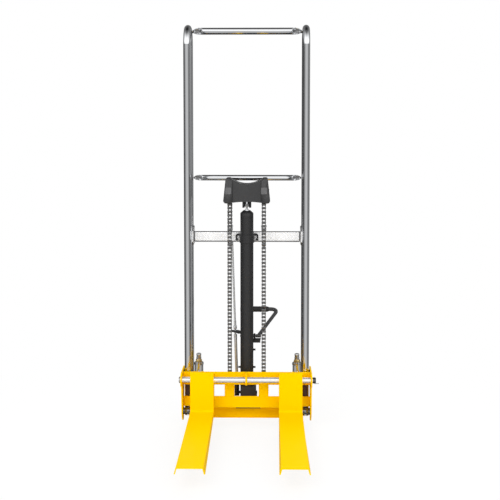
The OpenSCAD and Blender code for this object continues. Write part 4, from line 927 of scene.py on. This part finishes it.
ram_ball = turned([(0, BALL_Z - 10.3), (4, BALL_Z - 9.7)] + [(r * 1.008, z) for r, z in ball] + [(8.5, 970.5), (0, 970.6)], AXIS,
                  sides=48)
add_piece("ball_skin", ram_ball, SATIN_ZINC, "lift_head")
leg = (rim(22, (CYLINDER_Y, WHEEL_Z), 24, -43.3, 223.3) + rim(6, (CYLINDER_Y - 10, 959), 6, 180, 270)
       + rim(6, (CYLINDER_Y + 10, 959), 6, 270, 360))
web = [(CYLINDER_Y + 13, 956), (CYLINDER_Y + 17, 956), (CYLINDER_Y + 17, 1000), (CYLINDER_Y + 13, 1000)]
saddle = [(CYLINDER_Y - 15, 985), (CYLINDER_Y + 15, 985), (CYLINDER_Y + 15, 1012), (CYLINDER_Y - 15, 1012)]
parts = [plate(leg, -19.2, -9.9, edge=1.2), plate(leg, 9.9, 19.2, edge=1.2), plate(saddle, -11.5, 11.5, edge=0.4),
         plate(web, -10.5, 10.5, edge=0.4)]
add_piece("head_yoke_cast", joined(parts, "head_yoke_cast"), BLACK, "lift_head", smooth=40,
          replaced=["head_yoke"])
print("ball radius", BALL_R, "mm at Z", BALL_Z)

# %% [markdown]
# ## Chain cover
# The cover over the chain wheels is an injection moulding: a thin shell with generous radii, two raised
# ends and a saddle between them. Its edges are rounded in three steps, so that each carries a soft line
# of light. A small cap screw on each end face holds it to the head.

# %% Cover
cover = edged_copy("chain_cover", MOULDED, 1.9, segments=3, smooth=40)
parts = []
for sign in (-1, 1):
    outline = ([(61, 984)] + rim(10, (71, 984), 6, 180, 270) + rim(11, (89.5, 986), 6, 270, 360) + [(98.3, 1012)]
               + [(94.6, 1016), (91.5, 1066)] + rim(9, (82.5, 1074), 8, 0, 90) + [(76, 1083), (64.5, 1074), (61, 1066)])
    parts.append(plate([(sign * u, v) for u, v in outline], -14.0, -6.0, edge=2.2, along="Y"))
add_piece("cover_end_blocks", joined(parts, "cover_end_blocks"), MOULDED, "lift_head", smooth=50)
# lighter grey pads on the end faces: a painted highlight standing in for the gloss on the moulding
parts = []
for sign in (-1, 1):
    inner = 70 if sign < 0 else 66
    pad = (rim(4, (inner + 18, 1040), 4, 0, 90) + rim(4, (inner, 1040), 4, 90, 180)
           + rim(4, (inner, 1019), 4, 180, 270) + rim(4, (inner + 18, 1019), 4, 270, 360))
    parts.append(plate([(sign * u, v) for u, v in pad], -14.7, -13.0, edge=0.5, along="Y"))
add_piece("cover_painted_highlights", joined(parts, "cover_painted_highlights"), HIGHLIGHT_PAD_PAINT, "lift_head")
parts = []
for sign in (-1, 1):
    parts.append(turned([(0, 0), (6.0, 0), (6.4, 1.0), (5.6, 3.4), (3.0, 4.2), (0, 4.3)],
                        at(sign * 93.0, CYLINDER_Y, WHEEL_Z), axis=(sign, 0, 0), sides=32))
add_piece("cover_screws", joined(parts, "cover_screws"), ZINC, "lift_head")
print("cover faces", len(cover.data.polygons))

# %% [markdown]
# ## Casters
# Each caster is a stack on one stem: a fork with a crown, a ball race, the housing that is welded to the
# frame, a passivated nut and a plain cap. The wheel is a black tread on a ribbed grey core, and its ribs
# show that it turns. The profiles are read from the inside to the outside of each part, as on a drawing.

# %% Caster stacks and wheels
CASTER_X, CASTER_Y = 227.0, 245.0
AXLE_Y, AXLE_Z = 277.0, 50.0
CROWN_Z, HOUSING_LOW, HOUSING_TOP = 112.0, 140.0, 215.0
CHEEK_IN, CHEEK_OUT = 20.0, 24.0
TREAD_PROFILE = [(33, -10.5), (34.5, -14), (37, -15.6), (44, -16), (47.6, -14.6), (49.4, -11.5), (50, -7), (50, 7),
                 (49.4, 11.5), (47.6, 14.6), (44, 16), (37, 15.6), (34.5, 14), (33, 10.5), (33, -10.5)]
CORE_PROFILE = [(6.4, -18), (13.4, -18), (14.4, -17.2), (15.2, -10), (17, -7.6), (31, -7.6), (32.6, -9.4), (33.2, -10.8),
                (33.2, 10.8), (32.6, 9.4), (31, 7.6), (17, 7.6), (15.2, 10), (14.4, 17.2), (13.4, 18), (6.4, 18), (6.4, -18)]
housings = []
for sign, side in ((-1, "left"), (1, "right")):
    stem = at(sign * CASTER_X, CASTER_Y, 0)
    axle = at(sign * CASTER_X, AXLE_Y, AXLE_Z)
    housings.append(turned([(10.3, HOUSING_LOW), (19.6, HOUSING_LOW), (20.2, HOUSING_LOW + 1), (20.2, 202), (21.6, 204.5),
                            (22, 206), (22, HOUSING_TOP - 1.2), (21, HOUSING_TOP), (10.3, HOUSING_TOP),
                            (10.3, HOUSING_LOW)], stem, sides=64))
    arm = [(CASTER_Y - 18, CROWN_Z + 4)] + rim(13, (AXLE_Y, AXLE_Z), 18, 188, 360) + [(CASTER_Y + 24, CROWN_Z + 4)]
    fork = [turned([(0, CROWN_Z), (25, CROWN_Z), (27, CROWN_Z + 1.4), (27, CROWN_Z + 4.6), (26, CROWN_Z + 5.4),
                    (24.6, CROWN_Z + 6), (24.6, 129), (23.4, 131.6), (17.2, 132.2), (17.2, HOUSING_LOW - 0.5),
                    (9.8, HOUSING_LOW - 0.5), (9.8, 226), (0, 226)], stem, sides=64)]
    for inner in (-CHEEK_OUT, CHEEK_IN):
        x = sign * CASTER_X + inner
        fork.append(plate(arm, x, x + CHEEK_OUT - CHEEK_IN, edge=0.8))
    fork.append(turned([(0, -31), (5.2, -31), (6, -30), (6, 30), (5.2, 31), (0, 31)], axle, axis=(1, 0, 0), sides=32))
    for end in (-1, 1):
        face = at(sign * CASTER_X + end * CHEEK_OUT, AXLE_Y, AXLE_Z)
        fork.append(turned([(0, 0), (10.5, 0), (10.5, 1.2), (10, 1.6), (0, 1.6)], face, axis=(end, 0, 0), sides=32))
        fork.append(hexagon(17, 5.4, face + Vector((end * 1.6 * MM, 0, 0)), (end, 0, 0), turn=9 * end))
    add_piece("caster_fork_pressed_" + side, joined(fork, "fork_stack"), NICKEL, side + "_caster",
              replaced=["caster_fork_" + side])
    top = [turned([(10.2, 215.3), (16.4, 215.3), (16.8, 215.8), (16.8, 218.2), (16.4, 218.6), (10, 218.6)], stem, sides=48),
           turned([(0, 228.5), (11.2, 228.5), (11.4, 229.2), (11.4, 240), (10.2, 241.4), (10.2, 245), (11, 246), (11, 254.4),
                   (10, 256.2), (8.6, 256.8), (0, 256.8)], stem, sides=48)]
    add_piece("caster_cap_" + side, joined(top, "caster_cap"), NICKEL, side + "_caster")
    add_piece("caster_nut_" + side, hexagon(26, 10.2, stem + Vector((0, 0, 218.6 * MM)), (0, 0, 1), turn=14 * sign), BRASS,
              side + "_caster")
    race = turned([(17.4, 132.4), (22.6, 132.4), (23.2, 133.2), (23.2, 138.4), (22.4, 139.4), (17.4, 139.4), (17.4, 132.4)],
                  stem, sides=48)
    add_piece("caster_race_" + side, race, DARK_STEEL, side + "_caster")
    tread = turned(TREAD_PROFILE, axle, axis=(1, 0, 0), sides=96)
    add_piece("caster_tread_" + side, tread, TREAD, side + "_caster_wheel", smooth=40,
              replaced=["caster_wheel_" + side])
    core = [turned(CORE_PROFILE, axle, axis=(1, 0, 0), sides=72)]
    for k in range(8):
        lean = Matrix.Rotation(math.radians(45 * k), 3, "X")
        rib = bmesh.new()
        bmesh.ops.create_cube(rib, size=1.0)
        for spot in rib.verts:
            local = Vector((spot.co.x * 23 * MM, spot.co.y * 2.4 * MM, (spot.co.z * 18 + 24) * MM))
            spot.co = axle + lean @ local
        rib_mesh = bpy.data.meshes.new("rib")
        rib.to_mesh(rib_mesh)
        rib.free()
        core.append(outward(rib_mesh))
    add_piece("caster_core_" + side, joined(core, "caster_core"), CORE, side + "_caster_wheel",
              replaced=["caster_wheel_" + side])
    treads = []
    for y in (AXLE_Y + 40, AXLE_Y + 44, AXLE_Y + 48):
        z = 96.0 + (y - AXLE_Y - 38) * 2 / 12 + 0.3
        treads.append(swept([at(sign * CASTER_X - 13, y, z), at(sign * CASTER_X + 13, y, z)], 1.0, sides=12))
    add_piece("brake_tread_ribs_" + side, joined(treads, "brake_ribs"), BLACK, side + "_brake")
add_piece("caster_housings", joined(housings, "caster_housings"), NICKEL, "frame",
          replaced=["caster_sleeves"])
print("caster wheel ribs: 8, housing", HOUSING_TOP - HOUSING_LOW, "mm high")

# %% [markdown]
# ## Rollers and fork shaft
# A guide roller has a waist that matches the round mast tube. The waist is an arc of the tube's circle plus
# the running clearance, so it is calculated and not drawn. Load rollers carry shallow wear grooves, and the
# fork shaft has chamfers and a ring groove at each end.

# %% Guide rollers, load rollers, shaft and wire pin
ROLLER_OFF, ROLLER_EDGE, ROLLER_HALF, PIN_R = 28.8, 17.0, 11.5, 6.05
waist = [(PIN_R, -ROLLER_HALF), (ROLLER_EDGE - 0.8, -ROLLER_HALF), (ROLLER_EDGE, -ROLLER_HALF + 0.8)]
for k in range(-9, 10):
    x = k * 1.08
    waist.append((min(ROLLER_EDGE, ROLLER_OFF - math.sqrt(15.3 ** 2 - x * x)), x))
waist += [(ROLLER_EDGE, ROLLER_HALF - 0.8), (ROLLER_EDGE - 0.8, ROLLER_HALF), (PIN_R, ROLLER_HALF), (PIN_R, -ROLLER_HALF)]
for height, y, z in (("upper", ROLLER_OFF, 225.0), ("lower", -ROLLER_OFF, 71.0)):
    for sign, side in ((-1, "left"), (1, "right")):
        name = "guide_roller_" + height + "_" + side
        grooved = turned(waist, at(sign * 256, y, z), axis=(1, 0, 0), sides=64)
        mark = hexagon(5, 1.2, at(sign * (256 - ROLLER_HALF), y, z + 11.5), (-sign, 0, 0))
        add_piece("waisted_" + name, joined([grooved, mark], name), ROLLER_STEEL, height + "_guide_roller_" + side,
                  smooth=40, replaced=[name])
        collar = turned([(6.2, 0), (13.6, 0), (14.4, 0.8), (14.4, 7.2), (13.6, 8.0), (6.2, 8.0), (6.2, 0)],
                        at(sign * 267.9, y, z), axis=(sign, 0, 0), sides=48)
        add_piece("roller_collar_" + height + "_" + side, collar, DARK_STEEL, "carriage")

tread = [(8.2, -22), (22.6, -22), (24.2, -21.4), (25, -20)]
for k in range(-3, 4):
    tread += [(25, k * 5.2 - 1.3), (24.5, k * 5.2 - 0.7), (24.5, k * 5.2 + 0.7), (25, k * 5.2 + 1.3)]
tread += [(25, 20), (24.2, 21.4), (22.6, 22), (8.2, 22), (8.2, -22)]
for sign, side in ((-1, "left"), (1, "right")):
    centre = at(sign * 190, -465, 25)
    cut = [turned(tread, centre, axis=(1, 0, 0), sides=72)]
    for k in range(6):
        angle = math.radians(60 * k)
        for end in (-1, 1):
            cut.append(turned([(0, 0), (1.8, 0), (1.8, 0.7), (1.2, 1.0), (0, 1.0)],
                              centre + Vector((end * 22, 16 * math.cos(angle), 16 * math.sin(angle))) * MM,
                              axis=(end, 0, 0), sides=16))
    add_piece("grooved_load_roller_" + side, joined(cut, "load_roller"), POLYMER, side + "_load_roller",
              replaced=["load_roller_" + side])

SHAFT_Y, SHAFT_Z, SHAFT_R = -72.0, 220.0, 12.0
shaft = [(0, -290), (10.8, -290), (SHAFT_R, -288.8), (SHAFT_R, -286.6), (10.9, -286.5), (10.9, -285.1), (SHAFT_R, -285),
         (SHAFT_R, 285), (10.9, 285.1), (10.9, 286.5), (SHAFT_R, 286.6), (SHAFT_R, 296.8), (10.8, 298), (0, 298)]
made = add_piece("turned_fork_shaft", turned(shaft, at(0, SHAFT_Y, SHAFT_Z), axis=(1, 0, 0), sides=96), SHAFT, "carriage",
                 replaced=["fork_shaft"])
tint_faces(made, DARK_STEEL, lambda spot: spot.x > 286)
rings = []
for x in (-285.8, 285.8):
    rings.append(turned([(11, -0.6), (14.2, -0.6), (14.4, -0.3), (14.4, 0.3), (14.2, 0.6), (11, 0.6), (11, -0.6)],
                        at(x, SHAFT_Y, SHAFT_Z), axis=(1, 0, 0), sides=64))
add_piece("shaft_rings", joined(rings, "shaft_rings"), DARK_STEEL, "carriage")
bend = [at(292.6 - 1.6 * math.cos(math.radians(a)), SHAFT_Y, 207.6 - 1.6 * math.sin(math.radians(a))) for a in range(0, 91, 15)]
wire = swept([at(291, SHAFT_Y, 235)] + bend + [at(311, SHAFT_Y, 206)], 1.6, sides=16)
add_piece("bent_wire_pin", wire, ZINC, "carriage", smooth=60, replaced=["shaft_pin"])
print("waist radius", round(ROLLER_OFF - 15.3, 2), "mm")

# %% [markdown]
# ## Pump, spring and foot pedal
# The pedal is one bent bar with a rubber sleeve, and its short inner arm pushes a roller down on the
# plunger. The return spring stands between the barrel and the plunger's cap, as one swept coil that is tied
# to neither body.

# %% Pedal, plunger, spring and barrel
PUMP_Y = 112.0
PLUNGER_TOP = 379.92
PIVOT_Y, PIVOT_Z = 78.0, 378.0
CAM_Y, CAM_Z = 110.43, 388.22


def rounded(a, corner, b, trim, steps=12):
    """The points of a soft corner between two straight runs, all in metres."""
    start = corner + (a - corner).normalized() * trim * MM
    end = corner + (b - corner).normalized() * trim * MM
    return [start.lerp(corner, k / steps).lerp(corner.lerp(end, k / steps), k / steps) for k in range(steps + 1)]


root, corner, tip = at(51, 79.8, 379.8), at(141, 270, 459), at(-32, 270, 459)
bent = [root] + rounded(root, corner, tip, 40) + [tip]
pivot = at(0, PIVOT_Y, PIVOT_Z)
parts = [swept(bent, [7.6 + 1.2 * min(1.0, k / 3) for k in range(len(bent))], sides=32),
         turned([(0, -31), (4.2, -31), (5, -30.2), (5, 61.2), (4.2, 62), (0, 62)], pivot, axis=(1, 0, 0), sides=32),
         turned([(5, -19.5), (8.4, -19.5), (9, -18.9), (9, 28.9), (8.4, 29.5), (5, 29.5)], pivot, axis=(1, 0, 0), sides=48),
         turned([(5, 38), (7, 38), (7.5, 38.5), (7.5, 60.5), (7, 61), (5, 61)], pivot, axis=(1, 0, 0), sides=40),
         turned([(0, -13), (2.6, -13), (3, -12.6), (3, 12.6), (2.6, 13), (0, 13)], at(0, CAM_Y, CAM_Z), axis=(1, 0, 0),
                sides=24)]
reach = math.degrees(math.atan2(CAM_Z - PIVOT_Z, CAM_Y - PIVOT_Y))
arm = rim(9.6, (PIVOT_Y, PIVOT_Z), 16, reach + 78, reach + 282) + rim(6, (CAM_Y, CAM_Z), 12, reach - 78, reach + 78)
for x in (-11, 7):
    parts.append(plate(arm, x, x + 4, edge=0.6))
add_piece("bent_pedal_bar", joined(parts, "bent_pedal_bar"), PEDAL_PAINT, "foot_pedal", smooth=40,
          replaced=["pedal_lever"])
follower = turned([(3.05, -6.5), (7.4, -6.5), (8, -5.9), (8, 5.9), (7.4, 6.5), (3.05, 6.5), (3.05, -6.5)],
                  at(0, CAM_Y, CAM_Z), axis=(1, 0, 0), sides=40)
add_piece("pedal_roller", follower, ROLLER_STEEL, "foot_pedal")
grip = [(0, -35.8), (8.6, -35.4), (12, -33.6), (13.1, -31.2)]
for k in range(18):
    x = -29.4 + k * 6.2
    grip += [(13.2, x), (13.2, x + 3.8), (12.2, x + 4.3), (12.2, x + 5.7)]
grip += [(13.2, 83), (13.0, 86), (11.6, 92), (10.4, 96), (8.9, 97)]
add_piece("ribbed_pedal_sleeve", turned(grip, at(0, 270, 459), axis=(1, 0, 0), sides=48), RUBBER, "foot_pedal",
          replaced=["pedal_sleeve"])
plunger = turned([(0, 192), (7, 192), (7, 373.9), (11.4, 373.9), (12, 374.5), (12, 378.6), (11, 379.7), (0, PLUNGER_TOP)],
                 at(0, PUMP_Y, 0), sides=48)
add_piece("turned_plunger", plunger, CHROME, "plunger", replaced=["pump_plunger"])
SPRING_LOW, SPRING_HIGH, TURNS = 291.4, 372.5, 9
coil = []
for k in range(TURNS * 28 + 1):
    share = k / (TURNS * 28)
    ease = share if 0.1 < share < 0.9 else (0.1 * (share / 0.1) ** 1.5 if share <= 0.1 else 1 - 0.1 * ((1 - share) / 0.1) ** 1.5)
    angle = 2 * math.pi * TURNS * share
    coil.append(at(9.6 * math.cos(angle), PUMP_Y + 9.6 * math.sin(angle), SPRING_LOW + ease * (SPRING_HIGH - SPRING_LOW)))
spring = add_piece("pump_spring_coil", swept(coil, 1.3, sides=12), ZINC, None, smooth=60,
                   replaced=["plunger_spring"])
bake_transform(spring)
barrel = [turned([(7.3, 163), (16, 163), (16, 279.6), (15, 281.4), (12.8, 282), (12.8, 289), (12.2, 289.8), (8.2, 289.8),
                  (7.3, 289), (7.3, 163)], at(0, PUMP_Y, 0), sides=64),
          hexagon(34, 9, at(0, PUMP_Y, 264), (0, 0, 1), turn=15)]
add_piece("pump_barrel_turned", joined(barrel, "pump_barrel_turned"), BLACK, "frame",
          replaced=["pump_barrel"])
low_end, high_end = at(-44, 98, 119), at(-66.7, 98, 815)
lean = (high_end - low_end).normalized()
sleeve = turned([(4.6, 47), (6, 47), (6.6, 48), (6.6, 244), (7.4, 245), (7.4, 249), (6.6, 250), (4.6, 250), (4.6, 47)], low_end,
                axis=lean, sides=32)
clip = turned([(4.6, 287), (7.2, 287), (7.8, 288), (7.8, 300), (7.2, 301), (5.6, 302), (5.6, 322), (4.6, 323), (4.6, 287)],
              low_end, axis=lean, sides=32)
add_piece("pull_rod_sleeve", joined([sleeve, clip], "pull_rod_sleeve"), SATIN_ZINC, "pull_rod")
knob = turned([(0, -12.1)] + [(12.1 * math.cos(math.radians(a)), 12.1 * math.sin(math.radians(a))) for a in range(-75, 76, 15)]
              + [(0, 12.1)], at(-66.7, 232, 803), axis=(0, 1, -0.14), sides=40)
add_piece("release_knob", knob, MOULDED, "release_handle", smooth=60)
print("spring turns:", TURNS, "pedal bar points:", len(bent))

# %% [markdown]
# ## Small hardware
# Bolts, plugs, threads and nipples are small, but the eye misses them at once when they are absent. The
# threads are turned as a saw-tooth profile, which reads as a thread without the cost of a real helix.

# %% Bolts, plugs, threads, boot and grease nipples
def thread(radius, low, high, pitch=1.5):
    """A saw-tooth profile from one height to another."""
    profile, z = [(0, low)], low
    while z + pitch < high:
        profile += [(radius - 0.75, z), (radius, z + pitch / 2)]
        z += pitch
    return profile + [(radius - 0.75, high), (0, high)]


parts = []
for x, y in ((-38, 26), (50, 26), (-38, 98), (50, 98)):
    spot = at(x, y, 82)
    parts.append(turned([(0, 0), (8.4, 0), (8.4, 1.3), (7.9, 1.7), (0, 1.7)], spot, sides=32))
    parts.append(hexagon(12.5, 6.5, spot + Vector((0, 0, 1.7 * MM)), (0, 0, 1), turn=x % 30))
add_piece("pump_foot_bolts", joined(parts, "pump_foot_bolts"), ZINC, "frame")
parts = [hexagon(14, 5, at(40, 60, 128), (1, 0, 0)), hexagon(11, 4, at(40, 98, 104), (1, 0, 0), turn=20),
         hexagon(13, 5, at(12, 132, 118), (0, 1, 0), turn=10), hexagon(10, 4, at(-14, 132, 98), (0, 1, 0)),
         hexagon(12, 4.5, at(-28, 48, 108), (-1, 0, 0), turn=12),
         turned([(0, 0), (9, 0), (9, 4), (7.6, 5.6), (7.6, 10), (6.8, 11), (0, 11.4)], at(24, 84, 163), sides=32)]
add_piece("pump_block_plugs", joined(parts, "pump_block_plugs"), BLACK_OXIDE, "frame")
parts = []
for sign in (-1, 1):
    x = sign * 74
    parts.append(turned(thread(5.3, 137, 151.8), at(x, 2.5, 0), sides=24))
    parts.append(turned([(5.2, 158.2), (9.6, 158.2), (9.8, 158.5), (9.8, 159.7), (9.6, 160), (5.2, 160), (5.2, 158.2)],
                        at(x, 2.5, 0), sides=32))
add_piece("carriage_stud_threads", joined(parts, "carriage_stud_threads"), ZINC, "carriage")
parts = []
for sign in (-1, 1):
    x = sign * 74
    parts.append(turned(thread(5.3, 773, 791.4), at(x, 73.5, 0), sides=24))
    parts.append(turned([(5.2, 797.7), (9.6, 797.7), (9.8, 798), (9.8, 799.2), (9.6, 799.5), (5.2, 799.5), (5.2, 797.7)],
                        at(x, 73.5, 0), sides=32))
add_piece("mast_stud_threads", joined(parts, "mast_stud_threads"), ZINC, "frame")
parts = []
for sign in (-1, 1):
    spot = at(sign * 227, 245 - 20.6, 176)
    parts.append(turned([(0, 0), (4, 0), (4, 2.2), (2.2, 3.2), (2.2, 5.4), (3.1, 6.2), (3.1, 7.6), (1.4, 8.8), (0, 8.8)], spot,
                        axis=(0, -1, 0), sides=20))
add_piece("grease_nipples", joined(parts, "grease_nipples"), ZINC, "frame")
boot = plate([(-57, 98), (-35.5, 98), (-35.5, 166), (-39, 173), (-52, 173), (-57, 166)], 106.4, 110.4, edge=0.9, along="Y")
add_piece("clevis_back_plate", boot, BLACK_OXIDE, "pull_rod")
# dark brown pads between the carriage plates: a painted dark reflection of the chrome mast tubes seen there
parts = []
for sign in (-1, 1):
    pad = [(-21.9, 131), (-16.6, 133), (-15.9, 136), (-15.9, 187), (-16.6, 190), (-21.9, 192)]
    parts.append(plate(pad, min(sign * 240, sign * 265), max(sign * 240, sign * 265), edge=0.8))
add_piece("mast_painted_reflection_pads", joined(parts, "mast_painted_reflection_pads"), DARK_REFLECTION_PAD, "carriage")
for side in ("left", "right"):
    edged_copy("chain_wheel_" + side, DARK_STEEL, 0.35, segments=1)
print("bolts, plugs and threads are in place")

# %% [markdown]
# ## Weld beads
# A weld is a row of overlapping ripples. The bead is a swept circle whose radius rises and falls along the
# seam, with a little chance in each ripple. Beads on painted steel are painted with it, and beads on chrome
# stay dull and dark, because the heat spoils the chrome there.

# %% Welds
random.seed(41)


def bead(path, radius, ripple=3.6):
    """A weld bead along straight runs between points in millimetres."""
    points, radii = [], []
    for a, b in zip(path, path[1:]):
        a, b = Vector(a), Vector(b)
        steps = max(2, int((b - a).length / (ripple / 4)))
        for k in range(steps + (b == Vector(path[-1]))):
            spot = a.lerp(b, k / steps)
            points.append(at(*spot) + Vector([random.uniform(-0.12, 0.12) * MM for _ in range(3)]))
            radii.append(radius * (0.84 + 0.20 * abs(math.sin(math.pi * k * (b - a).length / steps / ripple))))
    return swept(points, radii, sides=10)


def ring(x, y, z, radius, axis="Z", start=0, end=360, steps=36):
    """Points round a circle that stands across an axis."""
    out = []
    for k in range(steps + 1):
        angle = math.radians(start + (end - start) * k / steps)
        u, v = radius * math.cos(angle), radius * math.sin(angle)
        out.append({"Z": (x + u, y + v, z), "X": (x, y + u, z + v), "Y": (x + u, y, z + v)}[axis])
    return out


base, truck, chrome, black = [], [], [], []
for sign in (-1, 1):
    for y in (20, 70):
        base.append(bead([(sign * 228.6, y, 27), (sign * 228.6, y, 68)], 2.2))
    base.append(bead([(sign * 228.6, 22, 70), (sign * 228.6, 68, 70)], 2.2))
    for y in (-15.2, 15.2, 129.8, 160.2):
        low, high = (32, 94) if y < 100 else (32, 150)
        base.append(bead([(sign * 244.4, y, low), (sign * 244.4, y, high)], 2.2))
    base.append(bead(ring(sign * 227, 245, 170, 21.4, start=180 if sign > 0 else 0, end=400 if sign > 0 else -220), 2.2))
    base.append(bead([(sign * 160, 20, 22), (sign * 160, 20, 46)], 2.0))
    base.append(bead([(sign * 220, 20, 22), (sign * 220, 20, 46)], 2.0))
    for y in (-28.4, -21.6):
        for low, high in ((189, 241), (88, 134)):
            truck.append(bead([(sign * 275.6, y, low), (sign * 275.6, y, high)], 1.9))
    for x in (54.4, 93.6):
        truck.append(bead([(sign * x, -28.2, 137), (sign * x, -28.2, 186)], 1.7))
        truck.append(bead([(sign * x, -21.8, 168), (sign * x, 14, 168)], 1.5))
    for z in (136, 187):
        truck.append(bead([(sign * 56, -27.6, z), (sign * 92, -27.6, z)], 1.7))
    chrome.append(bead([(sign * 240.8, 74, 783.4), (sign * 240.8, 150.4, 783.4)], 1.8))
    chrome.append(bead([(sign * 240.8, 74, 860.6), (sign * 240.8, 150.4, 860.6)], 1.8))
    chrome.append(bead(ring(sign * 243.6, 145, 1077, 12.6, axis="X", steps=24), 1.6))
    for z in (799.6, 844.4):
        chrome.append(bead([(sign * 235.6, 68, z), (sign * 235.6, 86, z)], 1.6))
for x in (-27, 30, 59):
    black.append(bead([(x, 60, 365), (x, 90, 365)], 1.5))
black.append(bead(ring(0, CYLINDER_Y, 352.2, 28.7, start=20, end=160, steps=20), 1.8))
black.append(bead([(-27, 66.4, 359), (58, 66.4, 359)], 1.2))
truck.append(bead([(-4.4, -94, 243), (-4.4, -28, 243)], 1.4))
for name, beads, finish, body, slot_name in (
        ("base_welds", base, YELLOW, "frame", "yellow_paint"), ("carriage_welds", truck, YELLOW, "carriage", "yellow_paint"),
        ("mast_welds", chrome, HEAT_TINT_AND_PAINTED_SHADE, "frame", "plated_steel"), ("bracket_welds", black, BLACK, "frame", "black_paint")):
    add_piece(name, joined(beads, name), finish, body, smooth=70)
    print(name, len(beads), "beads")
